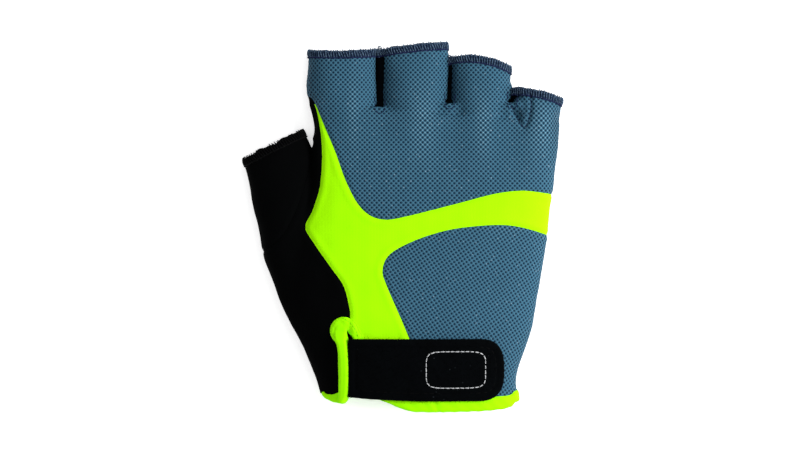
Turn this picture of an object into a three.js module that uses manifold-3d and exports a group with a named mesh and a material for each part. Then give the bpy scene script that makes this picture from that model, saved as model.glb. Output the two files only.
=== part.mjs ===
// A short-finger cycling glove for the right hand, lying on its palm with its back up.
// Millimetres: +Z is up, +Y runs to the fingertips, and the thumb is on the -X side.
// The hand, each finger and the thumb are lofted as closed forms. The same forms drawn in by the
// thickness of the cloth hollow them, and the shell that is left is cut into panels at the seams.
import * as THREE from 'three';
import { mergeVertices } from 'three/addons/utils/BufferGeometryUtils.js';
import Module from 'manifold-3d';

const wasm = await Module();
wasm.setup();

// Driving dimensions: the hand.
const HAND_LENGTH = 123; // wrist hem to the forks of the fingers
const HAND_HEIGHT = 22; // crown of the back above the surface it lies on
const FINGER_HEIGHT = 15; // crown of a finger tube
const THUMB_WIDTH = 28.6; // across the thumb's open end
const THUMB_HEIGHT = 15; // crown of the thumb tube
const FINGER_GAP = 0.8; // between neighbouring finger tubes
const INDEX_WIDTH = 28;
const INDEX_LENGTH = 24.3; // beyond the knuckle line, as for each finger
const INDEX_FORK = 1; // how far beyond the knuckle line the fork after the finger lies
const MIDDLE_WIDTH = 27.6;
const MIDDLE_LENGTH = 26.5;
const MIDDLE_FORK = 4.7;
const RING_WIDTH = 24.4;
const RING_LENGTH = 22;
const RING_FORK = 6.9;
const LITTLE_WIDTH = 19.6;
const LITTLE_LENGTH = 11.6;

// Driving dimensions: the cloth.
const BACK_WALL = 1.4; // knitted mesh and the yoke
const PALM_WALL = 2.2; // lined palm cloth
const SEAM_GAP = 0.3; // between panels that meet at a seam
const SIDE_SEAM_HEIGHT = 5; // where the back meets the palm, round the sides
const FOURCHETTE_LOW = 3; // height of the seam between a fourchette and the palm
const FOURCHETTE_HIGH = 9.5; // height of the seam between a fourchette and the back
const WEB_REACH = 7; // how far the web at a fork runs under each finger's back
const WEB_HEIGHT = 13.6; // crown of the web

// Driving dimensions: hems, binding and strap.
const HEM_LENGTH = 3.2; // overlocked end of a finger
const HEM_PROUD = 0.25; // how far a hem stands out from its cloth
const BINDING_PROUD = 0.8; // how far the binding stands out from the cloth it edges
const SLIT_BINDING = 4.4; // width of the binding on the slit and the palm's hem
const WRIST_BINDING = 6.5; // width of the binding on the back's hem
const SLIT_LOOP_RADIUS = 5.6; // bound loop at the head of the slit
const BAR_OVERHANG = 1.6; // how far the bar that holds the strap runs past it, at either edge
const STRAP_LENGTH = 63;
const STRAP_WIDTH = 25.3;
const STRAP_END = 10.5; // length of the strap's rounded end
const STRAP_THICKNESS = 1.8;
const PATCH_LENGTH = 30; // fastening patch that the strap closes on
const PATCH_WIDTH = 19;
const PATCH_THICKNESS = 1;
const CLEARANCE = 0.3; // between laid pieces

// Shape of a cross-section.
const EQUATOR = 0.36; // widest level, as a share of the section's height
const TUBE_CROWN = 2.3; // crown of a finger: 2 is an ellipse, more is squarer
const CROWN_STEPS = 14;
const CORNER_STEPS = 3;
const HAND_CORNER = 14; // how far in from the side the palm leaves the surface
const FINGER_CORNER = 6;
const OVERRUN = 4; // how far a cutting form runs past what it cuts
const TALL = HAND_HEIGHT * 2;
const ROOT_DEPTH = 14; // how far the form of a finger or a web runs into the hand
const ROOT_HEIGHT = 0.86; // height of a finger's form there over FINGER_HEIGHT

// A table's rows as objects with named columns.
const table = (columns, ...rows) =>
  rows.map((row) => Object.fromEntries(columns.map((column, i) => [column, row[i]])));

// Fingers from the thumb's side: their lengths as named above, lean towards the thumb, slant of
// the open end (positive where the little finger's side is further out), width at the end over
// width.
const FINGERS = table(
  ['name', 'width', 'length', 'fork', 'lean', 'slant', 'flare'],
  ['index', INDEX_WIDTH, INDEX_LENGTH, INDEX_FORK, 2, 0, 1],
  ['middle', MIDDLE_WIDTH, MIDDLE_LENGTH, MIDDLE_FORK, -0.4, 6.7, 1.01],
  ['ring', RING_WIDTH, RING_LENGTH, RING_FORK, -2, -11, 1.03],
  ['little', LITTLE_WIDTH, LITTLE_LENGTH, 0, -5.6, -14.7, 1.06],
);
const HAND_WIDTH = FINGERS.reduce((sum, f) => sum + f.width + FINGER_GAP, -FINGER_GAP);

// Hand sections from the wrist: place of the thumb's side as a share of HAND_LENGTH, how far the
// other side lags behind it, both sides as shares of HAND_WIDTH, height over HAND_HEIGHT, and how
// square the crown is.
const HAND_SECTIONS = table(
  ['along', 'lag', 'left', 'right', 'height', 'crown'],
  [-0.04, 0, -0.43, 0.312, 0.84, 2.2],
  [0.033, 0, -0.444, 0.334, 0.86, 2.2],
  [0.093, 0, -0.474, 0.328, 0.9, 2.2],
  [0.199, 0, -0.524, 0.364, 0.96, 2.2],
  [0.288, 0, -0.572, 0.394, 1, 2.2],
  [0.377, 0, -0.62, 0.416, 1, 2.2],
  [0.47, 0, -0.632, 0.434, 1, 2.25],
  [0.556, 0, -0.592, 0.448, 0.98, 2.35],
  [0.636, 0, -0.552, 0.462, 0.95, 2.5],
  [0.715, 0, -0.52, 0.474, 0.9, 2.75],
  [0.8, 0.01, -0.5, 0.482, 0.84, 3.1],
  [0.9, 0.04, -0.49, 0.494, 0.77, 3.5],
  [1.013, 0.063, -0.5, 0.5, 0.7, 3.8],
);

// Thumb sections from inside the hand: centre as shares of HAND_WIDTH and HAND_LENGTH, tilt of
// the section in degrees, width over THUMB_WIDTH, height over THUMB_HEIGHT.
const THUMB_SECTIONS = table(
  ['across', 'along', 'tilt', 'width', 'height'],
  [-0.45, 0.262, 2, 0.64, 0.9],
  [-0.497, 0.3675, 6, 0.781, 1],
  [-0.554, 0.5, 9, 0.852, 1.05],
  [-0.59, 0.629, 11, 0.886, 1.05],
  [-0.609, 0.752, 14, 0.94, 1.02],
  [-0.624, 0.8245, 19, 0.985, 1],
  [-0.642, 0.8855, 26, 1, 0.96],
);

// Seams and edges in plan: [share of HAND_WIDTH, share of HAND_LENGTH].
const YOKE_THUMB_SIDE = [
  [-0.488, 1.023], [-0.464, 0.947], [-0.455, 0.851], [-0.462, 0.742], [-0.494, 0.666],
  [-0.522, 0.613], [-0.484, 0.556], [-0.416, 0.477], [-0.366, 0.411], [-0.342, 0.331],
];
const YOKE_UPPER_EDGE = [
  [-0.488, 1.023], [-0.41, 0.874], [-0.358, 0.768], [-0.31, 0.689], [-0.26, 0.647],
  [-0.2, 0.632], [-0.12, 0.641], [0.108, 0.689], [0.228, 0.715], [0.322, 0.726],
  [0.4, 0.724], [0.58, 0.702],
];
const YOKE_LOWER_EDGE = [
  [0.58, 0.536], [0.452, 0.581], [0.292, 0.613], [0.108, 0.605], [-0.016, 0.582],
  [-0.12, 0.548], [-0.184, 0.513], [-0.207, 0.467], [-0.192, 0.417], [-0.108, 0.248],
  [0.04, -0.06],
];
const THUMB_SEAM = [
  [-0.76, 0.497], [-0.668, 0.536], [-0.604, 0.583], [-0.548, 0.669], [-0.508, 0.775],
  [-0.489, 0.872], [-0.504, 0.94],
];
const SLIT = [
  [-0.346, 0.272], [-0.346, -0.08], [-0.19, -0.08], [-0.236, 0.043], [-0.28, 0.139],
  [-0.324, 0.232], [-0.338, 0.27],
];
const SLIT_HEAD = [-0.366, 0.262];
const PALM_HEM = [
  [-0.56, 0.12], [-0.448, 0.07], [-0.432, 0.043], [-0.396, 0.026], [-0.362, 0.027],
  [-0.325, 0.048], [-0.2, 0.05], [0.25, 0.05], [0.336, 0.04], [0.5, 0.045],
];
const BACK_HEM = [
  [-0.262, 0.05], [-0.236, 0.04], [-0.14, 0.012], [-0.072, -0.002], [0.16, -0.002],
  [0.26, 0.005], [0.308, 0.013], [0.336, 0.04], [0.5, 0.045],
];
const STRAP_CENTRE = 0.1375; // share of HAND_LENGTH
const PATCH_CENTRE = [0.09, STRAP_CENTRE];

const CLOTHS = {
  mesh_cloth: { color: 0x3a6076, roughness: 0.75, metalness: 0 },
  lime_cloth: { color: 0xa9f400, roughness: 0.6, metalness: 0 },
  palm_cloth: { color: 0x0b0c0e, roughness: 0.8, metalness: 0 },
  fourchette_cloth: { color: 0x0d1116, roughness: 0.8, metalness: 0 },
  lime_tape: { color: 0xa8fc08, roughness: 0.7, metalness: 0 },
  overlock_thread: { color: 0x2b3d52, roughness: 0.85, metalness: 0 },
  brushed_loop: { color: 0x101214, roughness: 0.95, metalness: 0 },
};

// Plan geometry.
const radians = THREE.MathUtils.degToRad;
const place = ([across, along]) => new THREE.Vector2(across * HAND_WIDTH, along * HAND_LENGTH);
const direction = (degrees) => new THREE.Vector2(1, 0).rotateAround(new THREE.Vector2(), radians(degrees));
const curve = (points, steps) => new THREE.SplineCurve(points.map(place)).getPoints(steps);

// A closed outline moved out by a distance, with round corners.
function grown(outline, by) {
  const turn = THREE.ShapeUtils.area(outline) > 0 ? 1 : -1;
  const normal = (a, b) => new THREE.Vector2(b.y - a.y, a.x - b.x).normalize().multiplyScalar(turn);
  return outline.flatMap((point, i) => {
    const before = normal(outline.at(i - 1), point);
    const after = normal(point, outline[(i + 1) % outline.length]);
    const bend = Math.atan2(before.cross(after) * turn, before.dot(after));
    const steps = bend > 0 ? Math.ceil(bend / radians(30)) : 0;
    if (!steps) {
      const middle = before.clone().add(after).normalize();
      return [point.clone().addScaledVector(middle, by / middle.dot(after))];
    }
    return Array.from({ length: steps + 1 }, (_, k) =>
      before.clone()
        .rotateAround(new THREE.Vector2(), (turn * bend * k) / steps)
        .multiplyScalar(by)
        .add(point));
  });
}

// Solids.
function solidOf(geometry) {
  const bare = geometry.clone();
  bare.deleteAttribute('normal');
  bare.deleteAttribute('uv');
  const merged = mergeVertices(bare, 1e-5);
  return new wasm.Manifold(new wasm.Mesh({
    numProp: 3,
    vertProperties: new Float32Array(merged.attributes.position.array),
    triVerts: new Uint32Array(merged.index.array),
  }));
}

// A cut leaves splinters where two seams meet; the panel is the largest body.
const largest = (solid) => solid.decompose().reduce((a, b) => (b.volume() > a.volume() ? b : a));

function geometryOf(solid) {
  const { vertProperties, triVerts } = solid.getMesh();
  const geometry = new THREE.BufferGeometry()
    .setAttribute('position', new THREE.BufferAttribute(vertProperties, 3))
    .setIndex(new THREE.BufferAttribute(triVerts, 1));
  const faceted = geometry.toNonIndexed();
  faceted.computeVertexNormals();
  return faceted;
}

function prism(outline, low = -OVERRUN, high = TALL) {
  const shape = new THREE.Shape(outline);
  const geometry = new THREE.ExtrudeGeometry(shape, { depth: high - low, bevelEnabled: false });
  return solidOf(geometry.translate(0, 0, low));
}

// A cross-section is a line in plan with a height above it. `drawnIn` says how far its sides, crown
// and base lie inside the outer form; a negative distance lies outside.
function ring({ left, right, height, crown: squareness, corner }, drawnIn) {
  const centre = left.clone().add(right).divideScalar(2);
  const half = left.distanceTo(right) / 2 - drawnIn.side;
  const unit = right.clone().sub(left).normalize();
  const equator = height * EQUATOR;
  const crown = height - drawnIn.crown - equator;
  const base = equator - drawnIn.base;
  const reach = corner - drawnIn.side;
  const points = [];
  const add = (offset, z) => {
    const plan = centre.clone().addScaledVector(unit, offset);
    points.push(new THREE.Vector3(plan.x, plan.y, z));
  };
  const power = (x) => Math.sign(x) * Math.abs(x) ** (2 / squareness);
  for (let i = 0; i <= CROWN_STEPS; i++) {
    const angle = (Math.PI * i) / CROWN_STEPS;
    add(half * power(Math.cos(angle)), equator + crown * power(Math.sin(angle)));
  }
  const quarter = (step) => (Math.PI / 2) * (step / CORNER_STEPS);
  for (let i = 1; i <= CORNER_STEPS; i++)
    add(-half + reach * (1 - Math.cos(quarter(i))), equator - base * Math.sin(quarter(i)));
  for (let i = CORNER_STEPS; i > 0; i--)
    add(half - reach * (1 - Math.cos(quarter(i))), equator - base * Math.sin(quarter(i)));
  return points;
}

function loft(sections, drawnIn) {
  const rings = sections.map((section) => ring(section, drawnIn));
  const count = rings[0].length;
  const index = [];
  for (let j = 0; j + 1 < rings.length; j++)
    for (let i = 0; i < count; i++) {
      const [a, b] = [j * count + i, j * count + ((i + 1) % count)];
      index.push(a, a + count, b, b, a + count, b + count);
    }
  const last = (rings.length - 1) * count;
  for (let i = 1; i + 1 < count; i++)
    index.push(0, i, i + 1, last, last + i + 1, last + i);
  return solidOf(new THREE.BufferGeometry().setFromPoints(rings.flat()).setIndex(index));
}

// A section line moved along its own normal, for a form that runs past an open end.
function shifted(section, by) {
  const normal = section.right.clone().sub(section.left).normalize();
  const step = new THREE.Vector2(-normal.y, normal.x).multiplyScalar(by);
  return { ...section, left: section.left.clone().add(step), right: section.right.clone().add(step) };
}

const handSections = HAND_SECTIONS.map(({ along, lag, left, right, height, crown }) => ({
  left: place([left, along]),
  right: place([right, along - lag]),
  height: height * HAND_HEIGHT,
  crown,
  corner: HAND_CORNER,
}));

const thumbSections = THUMB_SECTIONS.map(({ across, along, tilt, width, height }) => {
  const half = direction(tilt).multiplyScalar((THUMB_WIDTH * width) / 2);
  return {
    left: place([across, along]).sub(half),
    right: place([across, along]).add(half),
    height: height * THUMB_HEIGHT,
    crown: TUBE_CROWN,
    corner: FINGER_CORNER,
  };
});

// The fingers stand side by side on the knuckle line, which is the hand's last section.
const knuckles = handSections.at(-1);
const knuckleTilt = THREE.MathUtils.radToDeg(knuckles.right.clone().sub(knuckles.left).angle() - 2 * Math.PI);

// A finger's section at a distance beyond the knuckle line.
function fingerSection(finger, distance) {
  const share = Math.max(0, distance / finger.length);
  const before = FINGERS.slice(0, FINGERS.indexOf(finger));
  const across = before.reduce((sum, f) => sum + f.width + FINGER_GAP, finger.width / 2) / HAND_WIDTH;
  const axis = direction(90 + finger.lean);
  const centre = knuckles.left.clone().lerp(knuckles.right, across).addScaledVector(axis, distance);
  const tilt = THREE.MathUtils.lerp(knuckleTilt, finger.slant, Math.min(1, share));
  const width = finger.width * THREE.MathUtils.lerp(1, finger.flare, share);
  const half = direction(tilt).multiplyScalar(width / 2 / Math.cos(radians(tilt - finger.lean)));
  const height = FINGER_HEIGHT * (distance < 0 ? ROOT_HEIGHT : THREE.MathUtils.lerp(1, 0.93, share));
  return {
    left: centre.clone().sub(half),
    right: centre.clone().add(half),
    height,
    crown: TUBE_CROWN,
    corner: FINGER_CORNER,
  };
}

const fingerSections = (finger) =>
  [-ROOT_DEPTH, 0, finger.length / 2, finger.length].map((distance) => fingerSection(finger, distance));

// A point on a finger's side, or inwards of it.
function sidePoint(finger, distance, side, inwards) {
  const section = fingerSection(finger, distance);
  const unit = section.right.clone().sub(section.left).normalize();
  return section[side].clone().addScaledVector(unit, side === 'left' ? inwards : -inwards);
}

// The web at the fork between two fingers fills the valley between their backs.
const webSections = (finger, next) => [-ROOT_DEPTH, 0, finger.fork].map((distance) => ({
  left: sidePoint(finger, distance, 'right', WEB_REACH),
  right: sidePoint(next, distance, 'left', WEB_REACH),
  height: WEB_HEIGHT,
  crown: TUBE_CROWN,
  corner: FINGER_CORNER,
}));

// Forms: `wall` of cloth drawn in, with the ends run on so that they cut an opening.
const OUTER = { side: 0, crown: 0, base: 0 };
const INNER = { side: BACK_WALL, crown: BACK_WALL, base: PALM_WALL };
const inset = (by, from = OUTER) => ({
  side: from.side + by,
  crown: from.crown + by,
  base: from.base === 0 ? 0 : from.base + by,
});
const openEnded = (sections, start, end) => [
  ...(start ? [shifted(sections[0], -start)] : []),
  ...(end < 0 ? sections.slice(0, -1) : sections),
  ...(end ? [shifted(sections.at(-1), end)] : []),
];
const handForm = (drawnIn, start = 0, end = 0) => loft(openEnded(handSections, start, end), drawnIn);
const tubeForm = (sections, drawnIn, end = 0) => loft(openEnded(sections, 0, end), drawnIn);

const tubes = [...FINGERS.map(fingerSections), thumbSections];
const webs = FINGERS.slice(0, -1).map((finger, i) => webSections(finger, FINGERS[i + 1]));
const outerForms = [...tubes, ...webs].map((sections) => tubeForm(sections, OUTER));
const innerForms = [
  handForm(INNER, OVERRUN, -BACK_WALL),
  ...tubes.map((sections) => tubeForm(sections, INNER, OVERRUN)),
  ...webs.map((sections) => tubeForm(sections, INNER, -BACK_WALL)),
];
let shell = outerForms.reduce((form, tube) => form.add(tube), handForm(OUTER));
shell = innerForms.reduce((form, hollow) => form.subtract(hollow), shell);

// Takes a panel out of the shell and leaves the seam's gap round it.
function take(zone) {
  const panel = shell.intersect(zone(0));
  shell = shell.subtract(zone(SEAM_GAP));
  return panel;
}

// Open end of a tube: the stretch before the end, as a cutting form.
function endZone(sections, length, by) {
  const last = sections.at(-1);
  const sideways = last.right.clone().sub(last.left).setLength(OVERRUN);
  const wide = { ...last, left: last.left.clone().sub(sideways), right: last.right.clone().add(sideways) };
  const [start, end] = [shifted(wide, -length - by), shifted(wide, OVERRUN)];
  return prism([start.left, start.right, end.right, end.left])
    .intersect(tubeForm(sections, inset(-FINGER_GAP / 3), OVERRUN));
}

function hem(sections) {
  const outer = tubeForm(sections, inset(-HEM_PROUD));
  const ringOfHem = outer.subtract(tubeForm(sections, inset(HEM_PROUD, INNER), OVERRUN))
    .intersect(endZone(sections, HEM_LENGTH, 0));
  shell = shell.subtract(endZone(sections, HEM_LENGTH, SEAM_GAP));
  return ringOfHem;
}

// The sides between two fingers and the end of their web, to beyond both ends.
function forkZone(finger, next, by) {
  const depth = BACK_WALL * 2 + by;
  const start = finger.fork - BACK_WALL - by;
  const outline = [
    sidePoint(finger, start, 'right', depth),
    sidePoint(next, start, 'left', depth),
    sidePoint(next, next.length + OVERRUN, 'left', depth),
    sidePoint(finger, finger.length + OVERRUN, 'right', depth),
  ];
  return prism(outline, FOURCHETTE_LOW - by, FOURCHETTE_HIGH + by);
}

const farRight = 0.75; // shares of the hand, clear of every panel
const farLeft = -0.62;
const farUp = 1.5;
const farDown = -0.2;
const yokeUpper = curve(YOKE_UPPER_EDGE, 26);
const yokeLower = curve(YOKE_LOWER_EDGE, 26);
const yokeOutline = [
  ...curve(YOKE_THUMB_SIDE, 20).reverse(),
  ...yokeUpper.slice(1), place([farRight, 0.6]), ...yokeLower,
  place([-0.342, farDown]),
];
const upperOutline = [
  ...yokeUpper, place([farRight, 0.7]), place([farRight, farUp]), place([farLeft, farUp]),
  place([farLeft, 1.08]), place([-0.524, 1.06]),
];
const lowerOutline = [...yokeLower, place([farRight, farDown]), place([farRight, 0.5])];
const thumbOutline = [
  ...curve(THUMB_SEAM, 16), place([-0.6, 1.1]), place([-1.2, 1.1]), place([-1.2, 0.4]),
];
const slitOutline = SLIT.map(place);

const backZone = (outline) => (by) => prism(grown(outline, by), SIDE_SEAM_HEIGHT - by);

// The hems are cut from the shell first, then the slit, then each panel in turn.
const palmHem = curve(PALM_HEM, 24);
const backHem = curve(BACK_HEM, 20);
const SPLIT = -0.3; // share of the hand's width inside the slit, where the two hems part
const SEAM_LAP = 1; // how far the cutting forms of the two hems overlap in height
const span = (from, to) => [place([from, 0.5]), place([from, farDown]), place([to, farDown]), place([to, 0.5])];
const leftOfSlit = prism(span(-0.8, SPLIT));
const rightOfSlit = prism(span(SPLIT, farRight));
const belowEdge = (edge) => [...edge, place([farRight, farDown]), place([-0.8, farDown])];
const alongEdge = (edge, width) => [
  ...edge,
  ...edge.map((point) => new THREE.Vector2(point.x, point.y + width)).reverse(),
];

// A cutting form round the wrist: the palm's hem below the side seam and on the thumb's side of
// the slit, and the back's hem above the side seam on the other side.
function roundWrist(onPalm, onBack, by) {
  const seam = SIDE_SEAM_HEIGHT;
  return prism(grown(onPalm, by), -OVERRUN, seam + by)
    .add(prism(grown(onPalm, by), seam - SEAM_LAP - by).intersect(leftOfSlit))
    .add(prism(grown(onBack, by), seam - SEAM_LAP - by).intersect(rightOfSlit));
}
const wristEnd = roundWrist(belowEdge(palmHem), belowEdge(backHem), 0)
  .add(prism(slitOutline, SIDE_SEAM_HEIGHT));

const slitHead = place(SLIT_HEAD);
function bindingZone(by) {
  const loop = new THREE.Shape().absarc(slitHead.x, slitHead.y, SLIT_LOOP_RADIUS + by, 0, 2 * Math.PI);
  const onPalm = alongEdge(palmHem, SLIT_BINDING);
  const onBack = alongEdge(backHem, WRIST_BINDING);
  return roundWrist(onPalm, onBack, by)
    .add(prism(grown(slitOutline, SLIT_BINDING + by), SIDE_SEAM_HEIGHT - by))
    .add(prism(loop.getPoints(12).slice(0, -1), SIDE_SEAM_HEIGHT - by));
}

const hems = new Map([...FINGERS.map((f) => [f.name, fingerSections(f)]), ['thumb', thumbSections]]
  .map(([name, sections]) => [name, hem(sections)]));
shell = shell.subtract(wristEnd);
const binding = handForm(inset(-BINDING_PROUD))
  .subtract(handForm(inset(BINDING_PROUD, INNER), OVERRUN, -BACK_WALL))
  .intersect(bindingZone(0))
  .subtract(wristEnd);
shell = shell.subtract(bindingZone(SEAM_GAP));
const thumb = take((by) => prism(grown(thumbOutline, by)));
const fourchettes = FINGERS.slice(0, -1).map((finger, i) => take((by) => forkZone(finger, FINGERS[i + 1], by)));
const yoke = take(backZone(yokeOutline));
const upperBack = take(backZone(upperOutline));
const lowerBack = take(backZone(lowerOutline));

// The strap and its patch follow the back of the hand at their own heights above it.
function laid(outline, lift, thickness) {
  return handForm(inset(-lift - thickness)).subtract(handForm(inset(-lift), OVERRUN, OVERRUN))
    .intersect(prism(outline, HAND_HEIGHT / 2));
}
function rectangle(centre, length, width) {
  const [x, y] = [length / 2, width / 2];
  return [[-x, -y], [x, -y], [x, y], [-x, y]].map(([dx, dy]) => new THREE.Vector2(centre.x + dx, centre.y + dy));
}
const STRAP_LIFT = Math.max(BINDING_PROUD, CLEARANCE + PATCH_THICKNESS) + CLEARANCE;
const strapStart = place([SLIT[0][0], STRAP_CENTRE]);
// The strap's end is sewn into the binding beside the slit, which is folded over it there.
function bar() {
  const centre = strapStart.clone().add(new THREE.Vector2(-SLIT_BINDING / 2, 0));
  const outline = rectangle(centre, SLIT_BINDING, STRAP_WIDTH + 2 * BAR_OVERHANG);
  return laid(outline, BINDING_PROUD / 2, STRAP_LIFT + STRAP_THICKNESS - BINDING_PROUD / 2);
}
function strap() {
  const start = strapStart.clone().add(new THREE.Vector2(SEAM_GAP, 0));
  const end = start.x + STRAP_LENGTH - STRAP_END;
  const outline = new THREE.Shape()
    .moveTo(start.x, start.y + STRAP_WIDTH / 2)
    .lineTo(start.x, start.y - STRAP_WIDTH / 2)
    .lineTo(end, start.y - STRAP_WIDTH / 2)
    .absellipse(end, start.y, STRAP_END, STRAP_WIDTH / 2, -Math.PI / 2, Math.PI / 2)
    .getPoints(12);
  return laid(outline, STRAP_LIFT, STRAP_THICKNESS);
}
const patch = laid(rectangle(place(PATCH_CENTRE), PATCH_LENGTH, PATCH_WIDTH), CLEARANCE, PATCH_THICKNESS);

const glove = new THREE.Group();
const materials = new Map(
  Object.entries(CLOTHS).map(([name, look]) => [name, new THREE.MeshStandardMaterial({ name, ...look })]),
);
function piece(name, solid, cloth) {
  const mesh = new THREE.Mesh(geometryOf(largest(solid)), materials.get(cloth));
  mesh.name = name;
  glove.add(mesh);
}

piece('palm_panel', shell, 'palm_cloth');
piece('thumb_panel', thumb, 'palm_cloth');
piece('upper_back_panel', upperBack, 'mesh_cloth');
piece('lower_back_panel', lowerBack, 'mesh_cloth');
piece('yoke_panel', yoke, 'lime_cloth');
fourchettes.forEach((solid, i) => {
  piece(`fourchette_${FINGERS[i].name}_${FINGERS[i + 1].name}`, solid, 'fourchette_cloth');
});
for (const [name, solid] of hems)
  piece(`${name}_hem`, solid, name === 'thumb' ? 'palm_cloth' : 'overlock_thread');
piece('wrist_binding', binding.add(bar()), 'lime_tape');
piece('strap', strap(), 'brushed_loop');
piece('strap_patch', patch, 'brushed_loop');

// The origin is at the middle of the glove's outline, on the surface that it lies on.
const bounds = new THREE.Box3().setFromObject(glove);
const middle = bounds.getCenter(new THREE.Vector3());
glove.position.set(-middle.x, -middle.y, -bounds.min.z);

export default glove;
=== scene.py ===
"""Short-finger cycling glove: mesh back, lime yoke and binding, black palm, closed wrist strap.

The glove's outer skin is made once from the same sections as the CAD solids, then cut at the
seams into cloth panels that get their own thickness, weave, stitching and finish. Shapes are
worked out in millimetres in the plan frame of the sections and placed in the row frame at the end.
"""

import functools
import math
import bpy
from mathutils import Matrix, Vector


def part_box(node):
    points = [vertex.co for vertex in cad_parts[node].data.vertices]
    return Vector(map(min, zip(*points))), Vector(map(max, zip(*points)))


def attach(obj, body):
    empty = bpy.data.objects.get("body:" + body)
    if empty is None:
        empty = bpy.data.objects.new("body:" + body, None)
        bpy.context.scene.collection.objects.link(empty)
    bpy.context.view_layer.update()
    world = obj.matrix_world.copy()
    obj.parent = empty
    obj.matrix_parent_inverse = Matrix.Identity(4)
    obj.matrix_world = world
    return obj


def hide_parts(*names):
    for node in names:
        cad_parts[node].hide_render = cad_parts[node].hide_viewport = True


bl_info = {
    "name": "Short-finger cycling glove",
    "version": (1, 0, 0),
    "blender": (4, 5, 0),
    "location": "3D View > Sidebar > Glove",
    "description": "Builds a short-finger cycling glove panel by panel on its CAD frame",
    "category": "Add Mesh",
}

import bpy
import numpy as np
from bpy.props import FloatProperty, FloatVectorProperty, IntProperty, PointerProperty
from mathutils import Vector
from mathutils.bvhtree import BVHTree

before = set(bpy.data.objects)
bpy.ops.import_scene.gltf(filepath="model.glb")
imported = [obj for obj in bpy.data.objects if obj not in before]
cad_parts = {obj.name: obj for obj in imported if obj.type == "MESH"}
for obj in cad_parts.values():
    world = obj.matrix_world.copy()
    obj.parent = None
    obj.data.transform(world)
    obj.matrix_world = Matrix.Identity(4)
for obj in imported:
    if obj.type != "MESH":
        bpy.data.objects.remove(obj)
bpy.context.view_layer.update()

MM = 0.001
BODY = "root"

# ---------------------------------------------------------------- sizes shared with the CAD, mm
HAND_LENGTH = 123.0
HAND_HEIGHT = 22.0
FINGER_HEIGHT = 15.0
THUMB_WIDTH = 28.6
THUMB_HEIGHT = 15.0
FINGER_GAP = 0.8
EQUATOR = 0.36
TUBE_CROWN = 2.3
HAND_CORNER = 14.0
FINGER_CORNER = 6.0
OVERRUN = 4.0
ROOT_DEPTH = 14.0
ROOT_HEIGHT = 0.86
WEB_REACH = 7.0
WEB_HEIGHT = 13.6
BACK_WALL = 1.4
SEAM_GAP = 0.3
SIDE_SEAM_HEIGHT = 5.0
FOURCHETTE_LOW = 3.0
HEM_LENGTH = 3.2
BINDING_PROUD = 0.8
SLIT_BINDING = 4.4
WRIST_BINDING = 6.5
SLIT_LOOP_RADIUS = 5.6
STRAP_LENGTH = 63.0
STRAP_WIDTH = 25.3
STRAP_END = 10.5
STRAP_THICKNESS = 1.8
STRAP_LIFT = 1.6
PATCH_LENGTH = 30.0
PATCH_WIDTH = 19.0
PATCH_THICKNESS = 1.0
CLEARANCE = 0.3


def table(columns, *rows):
    return [dict(zip(columns, row)) for row in rows]


FINGERS = table(
    ("name", "width", "length", "fork", "lean", "slant", "flare", "bow"),
    ("index", 28.0, 24.0, 1.0, 2, 0.7, 1.0, -0.9),
    ("middle", 27.6, 27.7, 4.7, -0.4, 6.1, 1.01, 0.2),
    ("ring", 24.4, 23.1, 6.9, -2, -9.2, 1.03, 2.1),
    ("little", 19.6, 12.1, 0.0, -5.6, -12.4, 1.06, 0.9),
)
NEIGHBOURS = list(zip(FINGERS, FINGERS[1:]))
HAND_WIDTH = sum(f["width"] for f in FINGERS) + FINGER_GAP * (len(FINGERS) - 1)
HAND_SECTIONS = table(
    ("along", "lag", "left", "right", "height", "crown"),
    (-0.04, 0, -0.43, 0.312, 0.84, 2.2),
    (0.033, 0, -0.444, 0.334, 0.86, 2.2),
    (0.093, 0, -0.474, 0.328, 0.9, 2.2),
    (0.199, 0, -0.524, 0.364, 0.96, 2.2),
    (0.288, 0, -0.572, 0.394, 1, 2.2),
    (0.377, 0, -0.62, 0.416, 1, 2.2),
    (0.47, 0, -0.632, 0.434, 1, 2.25),
    (0.556, 0, -0.592, 0.448, 0.98, 2.35),
    (0.636, 0, -0.552, 0.462, 0.95, 2.5),
    (0.715, 0, -0.52, 0.474, 0.9, 2.75),
    (0.8, 0.01, -0.5, 0.482, 0.84, 3.1),
    (0.9, 0.04, -0.49, 0.494, 0.77, 3.5),
    (1.013, 0.063, -0.5, 0.5, 0.7, 3.8),
)
THUMB_SECTIONS = table(
    ("across", "along", "tilt", "width", "height"),
    (-0.45, 0.262, 2, 0.64, 0.9),
    (-0.497, 0.3675, 6, 0.781, 1),
    (-0.554, 0.5, 9, 0.852, 1.05),
    (-0.59, 0.629, 11, 0.886, 1.05),
    (-0.609, 0.752, 14, 0.94, 1.02),
    (-0.624, 0.8245, 19, 0.985, 1),
    (-0.642, 0.8855, 26, 1, 0.96),
)
# Seams and edges in plan: shares of HAND_WIDTH and HAND_LENGTH.
YOKE_THUMB_SIDE = (
    (-0.494, 1.037), (-0.464, 0.947), (-0.4495, 0.851), (-0.459, 0.742), (-0.486, 0.666),
    (-0.516, 0.607), (-0.48, 0.553), (-0.414, 0.476), (-0.361, 0.411), (-0.336, 0.331),
)
YOKE_UPPER_EDGE = (
    (-0.494, 1.037), (-0.405, 0.874), (-0.358, 0.768), (-0.31, 0.689), (-0.26, 0.647),
    (-0.2, 0.632), (-0.12, 0.641), (0.108, 0.689), (0.228, 0.715), (0.322, 0.726),
    (0.4, 0.724), (0.58, 0.702),
)
YOKE_LOWER_EDGE = (
    (0.58, 0.536), (0.452, 0.581), (0.292, 0.613), (0.108, 0.605), (-0.016, 0.582),
    (-0.12, 0.548), (-0.184, 0.513), (-0.207, 0.467), (-0.192, 0.417), (-0.105, 0.248),
    (0.04, -0.06),
)
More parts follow.
